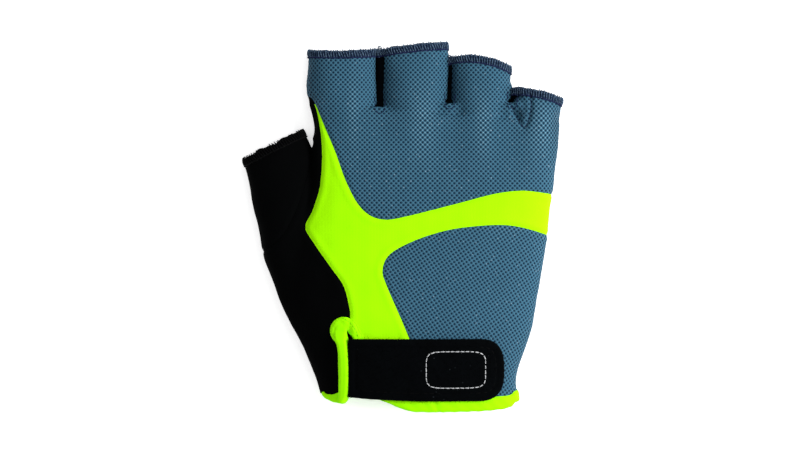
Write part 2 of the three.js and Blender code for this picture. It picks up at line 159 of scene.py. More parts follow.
THUMB_SEAM = (
    (-0.76, 0.497), (-0.668, 0.536), (-0.604, 0.583), (-0.548, 0.669), (-0.508, 0.775),
    (-0.489, 0.872), (-0.504, 0.94),
)
SLIT = (
    (-0.3455, 0.266), (-0.3455, -0.08), (-0.19, -0.08), (-0.236, 0.043), (-0.28, 0.139),
    (-0.322, 0.225), (-0.328, 0.243), (-0.338, 0.255), (-0.342, 0.267),
)
SLIT_HEAD = (-0.3605, 0.2665)
STRAP_START = -0.346
PALM_HEM = (
    (-0.56, 0.056), (-0.47, 0.056), (-0.452, 0.0545), (-0.445, 0.0495), (-0.434, 0.038),
    (-0.412, 0.028), (-0.393, 0.0245), (-0.362, 0.0245),
    (-0.325, 0.048), (-0.2, 0.05), (0.25, 0.05), (0.336, 0.04), (0.5, 0.045),
)
BAR_OUTLINE = (
    (-0.377, 0.0245), (-0.357, 0.0245), (-0.347, 0.034), (-0.3405, 0.049), (-0.335, 0.068),
    (-0.3328, 0.11), (-0.3342, 0.17), (-0.3418, 0.226), (-0.35, 0.262), (-0.351, 0.283),
    (-0.366, 0.294), (-0.384, 0.291), (-0.395, 0.28), (-0.4, 0.265), (-0.4, 0.251),
    (-0.396, 0.238), (-0.3875, 0.222), (-0.3825, 0.2), (-0.3785, 0.17), (-0.3764, 0.1),
    (-0.379, 0.05), (-0.382, 0.032),
)
BACK_HEM = (
    (-0.262, 0.056), (-0.216, 0.036), (-0.14, 0.012), (-0.072, -0.002), (0.16, -0.002),
    (0.26, 0.003), (0.304, 0.0095), (0.34, 0.026), (0.5, 0.034),
)
SPLIT = -0.3  # right of this the wrist's back edge is its own
STRAP_CENTRE = 0.1375
PATCH_CENTRE = (0.09, STRAP_CENTRE)
STITCHED_FRAME_CENTRE = (0.083, 0.139)
VIEW_CENTRE = (-0.138, 0.614)  # in the middle of the photograph
VIEW_WIDTH = 326.4  # mm across the photograph
FAR = dict(right=0.75, left=-0.62, up=1.5, down=-0.2)  # outlines close outside the glove
HEM_TURN = (3.0, 6.5)  # heights between which the wrist's edge goes from palm to back, mm
# Width of the binding by place across the hand: share of HAND_WIDTH, mm.
PALM_BINDING = ((-0.452, 0), (-0.444, 1.7), (-0.42, 2.6), (-0.4, 3.6), (-0.385, SLIT_BINDING))
BACK_BINDING = ((0.15, WRIST_BINDING), (0.34, 4.8))

# ---------------------------------------------------------------- cloth detail, mm
GRID_MARGIN = 3.0  # of the skin's grid round the forms
FIELD_REACH = 8.0  # distances from a form are worked out up to this
SKIN_STEP = 0.63  # grid that the skin is worked out on
BLEND = 1.8  # how softly fingers and webs run into the hand
THUMB_BLEND = 1.0
PANEL_GAP = 0.1  # between neighbouring panels, inside the seam's groove
GROOVE_DEPTH = 0.32
GROOVE_WIDTH = 0.75
SKIN_RIPPLES = ((0.22, 26.0, 3), (0.07, 8.0, 5))  # rise, length of wave, seed
SIDE_RIPPLE = (0.28, 13.0, 11)  # the same for the black sides
SIDE_BULGE = 0.5  # of the black side below the thumb
SEAM_PUFF, PUFF_OFFSET, PUFF_WIDTH = 0.14, 2.0, 1.1  # cloth that rises beside a seam
PUCKER_RISE, PUCKER_LENGTH, PUCKER_FADE, PUCKERS_ABOVE = 0.16, 2.7, 1.6, 9
TAPE_TWIST, TWIST_LENGTH = 0.08, 5.2  # ripples of the binding where it turns
TAPE_ROUNDING = 1.4
HEM_PROUD = 0.12
KNUCKLE_RISE = 1.1
KNUCKLE_REACH = 30.0
CRUMB_AREA = 3.0  # mm2, smaller scraps of a cut are dropped
THREAD_SIZES = ("length", "slant", "arch", "thickness", "sink", "uneven")
LABEL_STEP = 10_000_000  # between the numbers of the lattice points of two stretches
LATTICE_PER_PITCH = 3  # cloth points from one hole of the mesh to the next
SEAM_SPARE = 2.5  # mesh cloth past its seams while it is laid out on the lattice
SIDE_SPARE = 1.5  # the same below the side seam
MESH_TURNS = {"upper": 45, "lower": 34}  # degrees, how the rows of holes lie
FOURCHETTE_WALL = 1.2
BINDING_ROUNDING = 1.1
HEM_ROUNDING = 0.7
STITCH_INSET = 3.3  # from the strap's edge to its stitches
STITCHED_FRAME = (12.0, 7.4)  # half sizes of the outline of stitches on the strap


# Swells of the cloth's sides: place in shares, reach and rise in mm.
SIDE_SWELLS = (
    ((-0.51, 1.079), 6.5, 1.1),
    ((-0.485, 0.955), 7.5, -1.1),
    ((-0.488, 0.1175), 9.0, -1.0),
)
# Folds of the back, and a roll beside one: line in shares; rise and width in mm.
LOOP_FOLD = (
    (-0.404, 0.27), (-0.405, 0.287), (-0.393, 0.3), (-0.369, 0.3086), (-0.341, 0.297),
    (-0.326, 0.285), (-0.31, 0.265), (-0.304, 0.247),
)
LITTLE_FOLD = (
    (0.3, 1.02), (0.32, 0.987), (0.34, 0.954), (0.356, 0.937), (0.372, 0.954),
    (0.384, 0.993), (0.384, 1.033), (0.38, 1.06),
)
LITTLE_ROLL = ((0.318, 1.046), (0.338, 1.013), (0.352, 0.98), (0.358, 0.962))
FOLDS = ((LOOP_FOLD, -0.2, 0.3), (LITTLE_FOLD, -1.0, 0.75), (LITTLE_ROLL, 0.75, 1.0))
# Places of painted shade and painted highlight on the mesh: place in shares, reach across and ahead
# in mm, amount.
PAINTED_SHADE_PLACES = (
    ((0.335, 1.055), 3.4, 2.6, 0.9),
    ((0.352, 0.985), 2.0, 3.4, 0.45),
    ((-0.49, 1.1), 4.5, 12.0, 0.35),
    ((-0.17, 1.08), 4.0, 11.0, 0.3),
    ((0.1, 1.06), 4.0, 9.0, 0.3),
    ((0.49, 0.93), 3.0, 14.0, 0.25),
)
# Places of painted highlight on the mesh.
PAINTED_HIGHLIGHT_PLACES = (
    ((-0.325, 0.985), 2.2, 14.0, 0.7),
    ((-0.045, 0.955), 4.5, 14.0, 0.8),
    ((0.195, 0.95), 3.0, 12.0, 0.9),
    ((0.435, 0.93), 5.0, 12.0, 0.8),
    ((0.3, 0.62), 9.0, 5.0, 0.3),
)


# ---------------------------------------------------------------- plan geometry
def place(share):
    return np.array((share[0] * HAND_WIDTH, share[1] * HAND_LENGTH))


def direction(degrees):
    return np.array((math.cos(math.radians(degrees)), math.sin(math.radians(degrees))))


def smooth_step(low, high, x):
    t = np.clip((x - low) / (high - low), 0, 1)
    return t * t * (3 - 2 * t)


def bell(distance, width):
    return np.exp(-((distance / width) ** 2))


def rounded(inside, radius):
    """Height of a rounded edge, from 0 on the edge to 1 at the radius inside it."""
    t = np.clip(inside / radius, 0, 1)
    return np.sqrt(1 - (1 - t) ** 2)


def squared_off(v, crown):
    """A cosine or sine bent so that the circle it belongs to gets flatter sides."""
    return np.sign(v) * np.abs(v) ** (2 / crown)


def unit_of(way):
    return way / np.linalg.norm(way)


def turned_left(way):
    return np.array((-way[1], way[0]))


def spline(shares, per_span=8):
    """The same uniform Catmull-Rom curve that the CAD's seams follow."""
    points = np.array([place(s) for s in shares])
    out = []
    last = len(points) - 1
    for i in range(last):
        p0, p1, p2, p3 = (points[min(max(i + k, 0), last)] for k in (-1, 0, 1, 2))
        for t in np.arange(per_span) / per_span:
            v0, v1 = (p2 - p0) / 2, (p3 - p1) / 2
            out.append(
                (2 * p1 - 2 * p2 + v0 + v1) * t**3
                + (-3 * p1 + 3 * p2 - 2 * v0 - v1) * t**2
                + v0 * t
                + p1
            )
    return np.array(out + [points[-1]])


def hermite(x, y, at):
    """Smooth curve through table values y at places x."""
    x, y = np.asarray(x, float), np.asarray(y, float)
    slope = np.gradient(y, x)
    i = np.clip(np.searchsorted(x, at) - 1, 0, len(x) - 2)
    h = x[i + 1] - x[i]
    t = (at - x[i]) / h
    return (
        (1 + 2 * t) * (1 - t) ** 2 * y[i]
        + t * (1 - t) ** 2 * h * slope[i]
        + t * t * (3 - 2 * t) * y[i + 1]
        + t * t * (t - 1) * h * slope[i + 1]
    )


def inside_outline(P, outline):
    """Distance in plan from an outline, positive inside it."""
    x, y = P[:, 0], P[:, 1]
    nearest = np.full(len(P), 1e9)
    within = np.zeros(len(P), bool)
    for a, b in zip(outline, np.roll(outline, -1, axis=0)):
        ex, ey = b - a
        length = ex * ex + ey * ey
        if length < 1e-12:
            continue
        wx, wy = x - a[0], y - a[1]
        t = np.clip((wx * ex + wy * ey) / length, 0, 1)
        nearest = np.minimum(nearest, (wx - ex * t) ** 2 + (wy - ey * t) ** 2)
        above_a, below_b = y >= a[1], y < b[1]
        turn = ex * wy > ey * wx
        within ^= (above_a & below_b & turn) | (~above_a & ~below_b & ~turn)
    return np.where(within, 1, -1) * np.sqrt(nearest)


def along_line(P, line):
    """Distance in plan from an open line and how far along it the nearest point lies."""
    nearest, reach = np.full(len(P), 1e9), np.zeros(len(P))
    run = 0.0
    for a, b in zip(line[:-1], line[1:]):
        e = b - a
        length = math.hypot(*e)
        t = np.clip(((P[:, :2] - a) @ e) / length**2, 0, 1)
        d = np.hypot(P[:, 0] - a[0] - e[0] * t, P[:, 1] - a[1] - e[1] * t)
        reach = np.where(d < nearest, run + t * length, reach)
        nearest = np.minimum(nearest, d)
        run += length
    return nearest, reach


def ripple(P, length, seed, waves=5):
    """Soft unevenness between about -1 and 1, the same on every run."""
    rng = np.random.default_rng(seed)
    total = np.zeros(len(P))
    for _ in range(waves):
        way = rng.normal(size=P.shape[1])
        way *= 2 * math.pi / length / np.linalg.norm(way) * rng.uniform(0.7, 1.5)
        total += np.sin(P @ way + rng.uniform(0, 6.28))
    return total / math.sqrt(waves) * 0.7


# ---------------------------------------------------------------- lofted forms
class Form:
    """A form lofted through section lines in plan, each with a height above it."""

    def __init__(self, left, right, height, crown, corner):
        self.left, self.right = np.asarray(left), np.asarray(right)
        self.centre = (self.left + self.right) / 2
        across = self.right - self.left
        size = np.hypot(across[:, 0], across[:, 1])
        self.unit = across / size[:, None]
        self.ahead = np.stack((-self.unit[:, 1], self.unit[:, 0]), 1)
        self.columns = np.stack(
            (size / 2, np.asarray(height), np.asarray(crown), np.full(len(size), corner)), 1
        )

    def locate(self, P):
        """Place of plan points in the form: offset, half width, height, crown, corner, depth."""
        g = P[:, :1] * self.ahead[:, 0] + P[:, 1:2] * self.ahead[:, 1]
        g -= (self.centre * self.ahead).sum(1)
        i = np.clip((g >= 0).sum(1) - 1, 0, len(self.centre) - 2)
        rows = np.arange(len(P))
        before, after = g[rows, i], g[rows, i + 1]
        t = np.clip(before / np.maximum(before - after, 1e-9), 0, 1)[:, None]
        centre = self.centre[i] * (1 - t) + self.centre[i + 1] * t
        unit = self.unit[i] * (1 - t) + self.unit[i + 1] * t
        offset = ((P[:, :2] - centre) * unit).sum(1) / np.hypot(unit[:, 0], unit[:, 1])
        columns = self.columns[i] * (1 - t) + self.columns[i + 1] * t
        return offset, *columns.T, np.minimum(g[:, 0], -g[:, -1])

    def depth_outside(self, P, z):
        """Signed distance, near the surface, for plan points (n) at each level z (m)."""
        offset, half, height, crown, corner, ends = self.locate(P)
        z = z[:, None]
        level = EQUATOR * height
        rise = height - level
        a = np.maximum(np.abs(offset) / half, 1e-4)
        up = np.maximum((z - level) / rise, 1e-4)
        r = (a**crown + up**crown) ** (1 / crown)
        steep = np.hypot(a ** (crown - 1) / half, up ** (crown - 1) / rise) * r ** (1 - crown)
        over = (r - 1) / steep
        c = np.maximum(np.abs(offset) - half + corner, 0) / corner
        down = np.maximum((level - z) / level, 1e-4)
        r = np.hypot(c, down)
        under = (r - 1) * r / np.hypot(c / corner, down / level)
        f = np.where(z >= level, over, under)
        f, ends = (np.clip(v, -FIELD_REACH, FIELD_REACH) for v in (f, ends))
        return np.maximum(f, -ends)

    def top(self, P, lift=0.0):
        """Height of the form's upper side, grown by a lift."""
        offset, half, height, crown, _, _ = self.locate(P)
        level = EQUATOR * height
        a = np.clip(np.abs(offset) / (half + lift), 0, 0.995)
        return level + (height - level + lift) * (1 - a**crown) ** (1 / crown)


def hand_form():
    columns = {k: [row[k] for row in HAND_SECTIONS] for k in HAND_SECTIONS[0]}
    first, last = columns["along"][0], columns["along"][-1]
    along = np.linspace(first, last, 61)
    value = {k: hermite(columns["along"], columns[k], along) for k in columns}
    left = np.stack((value["left"] * HAND_WIDTH, along * HAND_LENGTH), 1)
    right = np.stack((value["right"] * HAND_WIDTH, (along - value["lag"]) * HAND_LENGTH), 1)
    run_on = np.array((0, -2 * OVERRUN))
    left = np.vstack((left[:1] + run_on, left))
    right = np.vstack((right[:1] + run_on, right))
    height = np.append(value["height"][:1], value["height"]) * HAND_HEIGHT
    crown = np.append(value["crown"][:1], value["crown"])
    return Form(left, right, height, crown, HAND_CORNER)


def thumb_form():
    at = np.linspace(0, len(THUMB_SECTIONS) - 1, 43)
    rows = np.arange(len(THUMB_SECTIONS))
    value = {k: hermite(rows, [r[k] for r in THUMB_SECTIONS], at) for k in THUMB_SECTIONS[0]}
    centre = np.stack((value["across"] * HAND_WIDTH, value["along"] * HAND_LENGTH), 1)
    tilt = np.radians(value["tilt"])
    half = np.stack((np.cos(tilt), np.sin(tilt)), 1) * (value["width"] * THUMB_WIDTH / 2)[:, None]
    ahead = np.array((-math.sin(tilt[-1]), math.cos(tilt[-1]))) * OVERRUN
    left, right = centre - half, centre + half
    return Form(
        np.vstack((left, left[-1:] + ahead)),
        np.vstack((right, right[-1:] + ahead)),
        np.append(value["height"], value["height"][-1]) * THUMB_HEIGHT,
        np.full(len(at) + 1, TUBE_CROWN),
        FINGER_CORNER,
    )


KNUCKLE_LEFT = place((HAND_SECTIONS[-1]["left"], HAND_SECTIONS[-1]["along"]))
KNUCKLE_RIGHT = place(
    (HAND_SECTIONS[-1]["right"], HAND_SECTIONS[-1]["along"] - HAND_SECTIONS[-1]["lag"])
)
KNUCKLE_TILT = math.degrees(math.atan2(*(KNUCKLE_RIGHT - KNUCKLE_LEFT)[::-1]))


def finger_start(finger):
    """How far along the knuckle line a finger's thumb side lies."""
    before = FINGERS[: FINGERS.index(finger)]
    return sum(f["width"] + FINGER_GAP for f in before)


def finger_section(finger, distance):
    share = max(0.0, distance / finger["length"])
    across = (finger_start(finger) + finger["width"] / 2) / HAND_WIDTH
    centre = KNUCKLE_LEFT + (KNUCKLE_RIGHT - KNUCKLE_LEFT) * across
    centre = centre + direction(90 + finger["lean"]) * distance
    tilt = KNUCKLE_TILT + (finger["slant"] - KNUCKLE_TILT) * min(1.0, share)
    width = finger["width"] * (1 + (finger["flare"] - 1) * share)
    half = direction(tilt) * width / 2 / math.cos(math.radians(tilt - finger["lean"]))
    if distance < 0:
        height = FINGER_HEIGHT * (1 + (ROOT_HEIGHT - 1) * min(1.0, -distance / ROOT_DEPTH))
    else:
        height = FINGER_HEIGHT * (1 - 0.07 * min(1.0, share))
    return centre - half, centre + half, height


def form_of(sections):
    left, right, height = (list(c) for c in zip(*sections))
    return Form(left, right, height, [TUBE_CROWN] * len(height), FINGER_CORNER)


def finger_form(finger):
    steps = np.linspace(-ROOT_DEPTH, finger["length"] + OVERRUN, 26)
    return form_of([finger_section(finger, d) for d in steps])


def web_form(finger, following):
    sections = []
    for distance in (-ROOT_DEPTH, -ROOT_DEPTH / 2, 0, finger["fork"]):
        left, right, _ = finger_section(finger, distance)
        start = right - unit_of(right - left) * WEB_REACH
        left, right, _ = finger_section(following, distance)
        end = left + unit_of(right - left) * WEB_REACH
        sections.append((start, end, WEB_HEIGHT))
    return form_of(sections)


HAND = hand_form()
THUMB = thumb_form()
FINGER_FORMS = [finger_form(f) for f in FINGERS]
WEB_FORMS = [web_form(a, b) for a, b in NEIGHBOURS]


# ---------------------------------------------------------------- skin
def joined(a, b, soft):
    h = np.clip(0.5 + 0.5 * (b - a) / soft, 0, 1)
    return b * (1 - h) + a * h - soft * h * (1 - h)


def field_of(form, x, y, z):
    """A form's signed distance on the grid, worked out only near the form."""
    corners = np.vstack((form.left, form.right))
    margin = FIELD_REACH + 1
    low, high = corners.min(0) - margin, corners.max(0) + margin
    ix = np.flatnonzero((x >= low[0]) & (x <= high[0]))
    iy = np.flatnonzero((y >= low[1]) & (y <= high[1]))
    field = np.full((len(z), len(y), len(x)), FIELD_REACH)
    gx, gy = np.meshgrid(x[ix], y[iy])
    part = form.depth_outside(np.stack((gx.ravel(), gy.ravel()), 1), z)
    field[:, iy[0] : iy[-1] + 1, ix[0] : ix[-1] + 1] = part.reshape(len(z), *gx.shape)
    return field


def surface_net(field, low, step):
    """Quads round the zero level of a field given on a grid [z, y, x]."""
    inside = field < 0
    cells = tuple(n - 1 for n in field.shape)
    count = np.zeros(np.prod(cells))
    total = np.zeros((3, len(count)))
    quads = []
    for axis, first, second in ((0, 2, 1), (1, 0, 2), (2, 1, 0)):
        near, far = [slice(None)] * 3, [slice(None)] * 3
        near[axis], far[axis] = slice(0, -1), slice(1, None)
        near, far = tuple(near), tuple(far)
        index = np.argwhere(inside[near] != inside[far])
        a, b = field[near][tuple(index.T)], field[far][tuple(index.T)]
        point = index.astype(float)
        point[:, axis] += a / (a - b)
        ring = []
        for d1, d2 in ((0, 0), (-1, 0), (-1, -1), (0, -1)):
            cell = index.copy()
            cell[:, first] += d1
            cell[:, second] += d2
            number = np.ravel_multi_index(tuple(cell.T), cells, mode="clip")
            count += np.bincount(number, minlength=len(count))
            for k in range(3):
                total[k] += np.bincount(number, weights=point[:, k], minlength=len(count))
            ring.append(number)
        quad = np.stack(ring, 1)
        outwards = inside[near][tuple(index.T)]
        quads.append(np.where(outwards[:, None], quad, quad[:, ::-1]))
    quads = np.vstack(quads)
    used, quads = np.unique(quads, return_inverse=True)
    quads = quads.reshape(-1, 4)
    P = (total[:, used] / count[used]).T[:, ::-1] * step + low
    return P, quads


def halves(P, quads):
    """Quads cut along their shorter diagonal."""
    a, b, c, d = quads.T
    first = np.linalg.norm(P[a] - P[c], axis=1) <= np.linalg.norm(P[b] - P[d], axis=1)
    one = np.where(first[:, None], np.stack((a, b, c), 1), np.stack((a, b, d), 1))
    two = np.where(first[:, None], np.stack((a, c, d), 1), np.stack((b, c, d), 1))
    return np.vstack((one, two))


def sum_at(index, values, size):
    return np.stack([np.bincount(index, weights=v, minlength=size) for v in values.T], 1)


def relaxed(P, quads, rounds):
    edges = np.vstack([quads[:, [i, (i + 1) % 4]] for i in range(4)])
    count = np.bincount(edges.ravel(), minlength=len(P))[:, None]
    for step in rounds:
        mean = sum_at(edges[:, 0], P[edges[:, 1]], len(P))
        mean += sum_at(edges[:, 1], P[edges[:, 0]], len(P))
        P = P + (mean / count - P) * step
    return P


def normals_of(P, T):
    face = np.cross(P[T[:, 1]] - P[T[:, 0]], P[T[:, 2]] - P[T[:, 0]])
    normal = sum(sum_at(T[:, k], face, len(P)) for k in range(3))
    return normal / np.maximum(np.linalg.norm(normal, axis=1), 1e-12)[:, None]


def hem_frames():
    """Each open end: its form, end centre, directions, half width and bow."""
    out = {}
    for finger, form in zip(FINGERS, FINGER_FORMS):
        left, right, _ = finger_section(finger, finger["length"])
        out[finger["name"]] = (form, (left + right) / 2, right - left, finger["bow"])
    last = THUMB_SECTIONS[-1]
    across = direction(last["tilt"]) * THUMB_WIDTH * last["width"]
    out["thumb"] = (THUMB, place((last["across"], last["along"])), across, 0.0)
    return out


def beyond_end(P, name):
    """How far cloth of one tube lies beyond its open end, and how far inside its sides."""
    form, centre, across, bow = HEM_FRAMES[name]
    half = np.linalg.norm(across) / 2
    unit = across / (2 * half)
    w = P[:, :2] - centre
    side = w @ unit
    ahead = w @ turned_left(unit)
    wave = 0.16 * np.sin(side / 1.9 + len(name)) + 0.1 * np.sin(side / 0.83 + 2 * len(name))
    if name == "thumb":
        wave = wave * 2.2
    past = ahead - bow * (1 - (side / half) ** 2) - wave
    offset, width, *_ = form.locate(P)
    return past, width + FINGER_GAP / 2 - np.abs(offset)


HEM_FRAMES = hem_frames()


def edge_height(line, x):
    order = np.argsort(line[:, 0])
    return np.interp(x, line[order, 0], line[order, 1])


PALM_HEM_LINE = spline(PALM_HEM)
BACK_HEM_LINE = spline(BACK_HEM)
SLIT_OUTLINE = np.array([place(s) for s in SLIT])
YOKE_UPPER = spline(YOKE_UPPER_EDGE)
YOKE_LOWER = spline(YOKE_LOWER_EDGE)
YOKE_OUTLINE = np.vstack((
    spline(YOKE_THUMB_SIDE)[::-1], YOKE_UPPER[1:], place((FAR["right"], 0.6)), YOKE_LOWER,
    place((-0.342, FAR["down"])),
))
UPPER_OUTLINE = np.vstack((
    YOKE_UPPER, place((FAR["right"], 0.7)), place((FAR["right"], FAR["up"])),
    place((FAR["left"], FAR["up"])), place((FAR["left"], 1.08)), place((-0.524, 1.06)),
))
LOWER_OUTLINE = np.vstack((
    YOKE_LOWER, place((FAR["right"], FAR["down"])), place((FAR["right"], 0.5)),
))
BACK_OUTLINES = {"yoke": YOKE_OUTLINE, "upper": UPPER_OUTLINE, "lower": LOWER_OUTLINE}
THUMB_OUTLINE = np.vstack((
    spline(THUMB_SEAM), place((-0.6, 1.1)), place((-1.2, 1.1)), place((-1.2, 0.4)),
))


def fork_outline(finger, following):
    """Plan outline of the two sides that face each other between fingers, and of their web."""

    def side(f, distance, end, inwards):
        left, right, _ = finger_section(f, distance)
        inset = unit_of(right - left) * inwards
        return right - inset if end == "right" else left + inset

    depth = 2 * BACK_WALL
    start = finger["fork"] - BACK_WALL
    return np.array((
        side(finger, start, "right", depth),
        side(following, start, "left", depth),
        side(following, following["length"] + OVERRUN, "left", depth),
        side(finger, finger["length"] + OVERRUN, "right", depth),
    ))


FORK_OUTLINES = [fork_outline(a, b) for a, b in NEIGHBOURS]
SLOTS = range(len(FORK_OUTLINES))
# How far the touching sides of each slot stand away from the middle of their forms, mm.
SLOT_SHIFTS = (-1.1, -0.5, 0.0)
# Heights of the seam between the back and the black sides: on the thumb's side of each slot, on
# its other side, and at the fork.
SLOT_SEAMS = ((6.5, 9.9, 11.8), (6.5, 9.2, 10.8), (6.5, 11.2, 10.0))


def slot_place(P, number):
    """Place in a slot between fingers: across from its middle line, and ahead of the fork."""
    finger, following = FINGERS[number], FINGERS[number + 1]

    def middle(distance):
        _, right, _ = finger_section(finger, distance)
        left, _, _ = finger_section(following, distance)
        return (left + right) / 2

    base = middle(finger["fork"])
    axis = unit_of(middle(finger["fork"] + 5) - base)
    w = P[:, :2] - base
    return w @ np.array((axis[1], -axis[0])), w @ axis


def slot_point(number, across, ahead):
    """The plan point at a place in a slot."""
    origin, unit = np.zeros((1, 2)), np.eye(2)
    across0, ahead0 = slot_place(origin, number)
    step = [np.concatenate(slot_place(u[None], number)) for u in unit]
    turn = np.array(step).T - np.array((across0[0], ahead0[0]))[:, None]
    return np.linalg.solve(turn, np.array((across - across0[0], ahead - ahead0[0])))


def wrist_edge(P):
    """How far cloth lies inside the wrist's hem."""
    x, z = P[:, 0], P[:, 2]
    palm = edge_height(PALM_HEM_LINE, x)
    back = edge_height(BACK_HEM_LINE, x)
    share = smooth_step(*HEM_TURN, z) * (x > SPLIT * HAND_WIDTH)
    return P[:, 1] - (palm * (1 - share) + back * share), share


def zones(P):
    """Signed distances, positive inside, of every cut of the skin."""
    z = P[:, 2]
    on_back = z - SIDE_SEAM_HEIGHT
    out = {}
    away = np.full(len(P), -50.0)
    for name in HEM_FRAMES:
        past, within = beyond_end(P, name)
        out[name + "_hem"] = np.minimum(past + HEM_LENGTH, within)
        away = np.maximum(away, np.minimum(past, within))
    inside_wrist, share = wrist_edge(P)
    slit = np.minimum(inside_outline(P, SLIT_OUTLINE), on_back)
    out["away"] = np.maximum(np.maximum(away, -inside_wrist), slit)
    palm_width, back_width = (
        np.interp(P[:, 0] / HAND_WIDTH, *zip(*widths)) for widths in (PALM_BINDING, BACK_BINDING)
    )
    hem_width = palm_width + (back_width - palm_width) * share
    head = place(SLIT_HEAD)
    loop = SLIT_LOOP_RADIUS - np.hypot(P[:, 0] - head[0], P[:, 1] - head[1])
    beside = np.maximum(inside_outline(P, SLIT_OUTLINE) + SLIT_BINDING - 0.5, loop)
    out["binding"] = np.maximum(hem_width - inside_wrist, np.minimum(beside, on_back))
    out["thumb"] = inside_outline(P, THUMB_OUTLINE)
    for i, outline in enumerate(FORK_OUTLINES):
        across, ahead = slot_place(P, i)
        near, beyond, fork = SLOT_SEAMS[i]
        high = near + (beyond - near) * smooth_step(-0.3, 0.3, across)
        at_fork = fork - 0.5 * np.minimum(np.abs(across), 4.0) ** 2
        high = high + (at_fork - high) * smooth_step(2.4, 0.6, ahead)
        band = np.minimum(z - FOURCHETTE_LOW, high - z)
        out[f"fork_{i}"] = np.minimum(inside_outline(P, outline), band)
    for name, outline in BACK_OUTLINES.items():
        out[name] = np.minimum(inside_outline(P, outline), on_back)
    return out


def knuckle_place(P):
    """How far along the knuckle line plan points lie, and how far beyond it."""
    unit = unit_of(KNUCKLE_RIGHT - KNUCKLE_LEFT)
    w = P[:, :2] - KNUCKLE_LEFT
    return w @ unit, w @ turned_left(unit)


def knuckle_waves(P):
    """Soft ridges where the fingers' backs run into the hand."""
    across, ahead = knuckle_place(P)
    ridge = np.zeros(len(P))
    for finger in FINGERS:
        start = finger_start(finger) - FINGER_GAP / 2
        width = finger["width"] + FINGER_GAP
        within = (across >= start) & (across < start + width)
        ridge = np.where(within, -np.cos((across - start) / width * 2 * math.pi), ridge)
    fade = smooth_step(-KNUCKLE_REACH, 1.0, ahead) * smooth_step(9.0, 2.0, ahead)
    return ridge * fade * KNUCKLE_RISE / 2


# Where the sides of neighbouring fingers lean over, mm: from none of the lean to all of it.
LEAN_NEAR_SIDE = (2.8, 0.6)
LEAN_PAST_FORK = (-0.5, 0.9)
LEAN_ABOVE = (0.2, 2.0)
LEAN_BELOW = (11.0, 7.5)
LEAN_BEFORE_END = (3.0, 0.4)
LEAN_REACH = 6  # across the slot
LARGEST_LEAN = 1.5
SLOT_OVERLAP = 0.4


def slot_closing(P):
    """How far the sides of neighbouring fingers lean over until they touch."""
    shift = np.zeros((len(P), 2))
    for i, (finger, following) in enumerate(NEIGHBOURS):
        offset, half, *_ = FINGER_FORMS[i].locate(P)
        beside_a = offset - half
        offset, half, *_ = FINGER_FORMS[i + 1].locate(P)
        beside_b = -offset - half
        across, ahead = slot_place(P, i)
        ends = [beyond_end(P, f["name"])[0] for f in (finger, following)]
        way = slot_point(i, 1.0, 0.0) - slot_point(i, 0.0, 0.0)
        near = np.minimum(np.abs(beside_a), np.abs(beside_b))
        weight = smooth_step(*LEAN_NEAR_SIDE, near) * smooth_step(*LEAN_PAST_FORK, ahead)
        weight *= smooth_step(*LEAN_ABOVE, P[:, 2]) * smooth_step(*LEAN_BELOW, P[:, 2])
        weight *= smooth_step(*LEAN_BEFORE_END, np.maximum(*ends))
        weight *= np.abs(across) < LEAN_REACH
        by = np.clip((beside_a + beside_b) / 2 + SLOT_OVERLAP, 0, LARGEST_LEAN) * weight
        by *= np.where(beside_a < beside_b, 1, -1)
        shift += (by + SLOT_SHIFTS[i] * weight)[:, None] * way
    return shift


def dressed(P, N):
    """The skin with the cloth's own unevenness, seam grooves, puckers and raised binding."""
    cut = zones(P)
    top = smooth_step(0.1, 0.7, N[:, 2]) * smooth_step(6.0, 9.0, P[:, 2])
    lift = knuckle_waves(P) * top
    for rise, wave, seed in SKIN_RIPPLES:
        lift += rise * ripple(P, wave, seed) * smooth_step(1.0, 4.0, P[:, 2])
    fork = np.minimum.reduce([np.abs(cut[f"fork_{i}"]) for i in SLOTS])
    side_seam = np.where(cut["yoke"] > -3, 9.0, np.abs(P[:, 2] - SIDE_SEAM_HEIGHT))
    nearest = np.minimum.reduce([np.abs(cut["yoke"]), np.abs(cut["thumb"]), fork, side_seam])
    lift -= GROOVE_DEPTH * bell(nearest, GROOVE_WIDTH)
    lift += SEAM_PUFF * bell(nearest - PUFF_OFFSET, PUFF_WIDTH)
    pucker = PUCKER_RISE * np.sin(P[:, 1] * 2 * math.pi / PUCKER_LENGTH)
    lift += pucker * np.exp(-fork / PUCKER_FADE) * (P[:, 2] > PUCKERS_ABOVE)
    shift = slot_closing(P)
    for at, reach, rise in SIDE_SWELLS:
        spot = place(at)
        near = np.hypot(P[:, 0] - spot[0], P[:, 1] - spot[1])
        lift += rise * bell(near, reach) * smooth_step(0.4, 0.9, np.abs(N[:, 0]))
    for line, rise, width in FOLDS:
        near, reach = along_line(P, spline(line))
        fade = smooth_step(-0.5, 2.0, reach) * smooth_step(0.5, -2.0, reach - reach.max())
        lift += rise * bell(near, width) * fade * top
    lift += BINDING_PROUD * rounded(cut["binding"], TAPE_ROUNDING)
    twist = TAPE_TWIST * np.sin((P[:, 0] + P[:, 1]) * 2 * math.pi / TWIST_LENGTH)
    lift += twist * (cut["binding"] > 0.6)
    for name in HEM_FRAMES:
        lift += HEM_PROUD * smooth_step(-0.2, 0.8, cut[name + "_hem"])
    black = smooth_step(0.5, -2.0, np.maximum.reduce([cut[k] for k in BACK_OUTLINES]))
    stretched = P * np.array((1.0, 0.45, 1.0))
    rise, wave, seed = SIDE_RIPPLE
    lift += rise * ripple(stretched, wave, seed) * black * smooth_step(1, 5, P[:, 2])
    low_hand = smooth_step(0.55, 0.4, P[:, 1] / HAND_LENGTH)
    lift += SIDE_BULGE * black * low_hand * smooth_step(0.8, 0.3, np.abs(N[:, 2]))
    P = P + N * lift[:, None]
    P[:, :2] += shift
    P[:, 2] = np.maximum(P[:, 2], 0.0)
    return P, cut


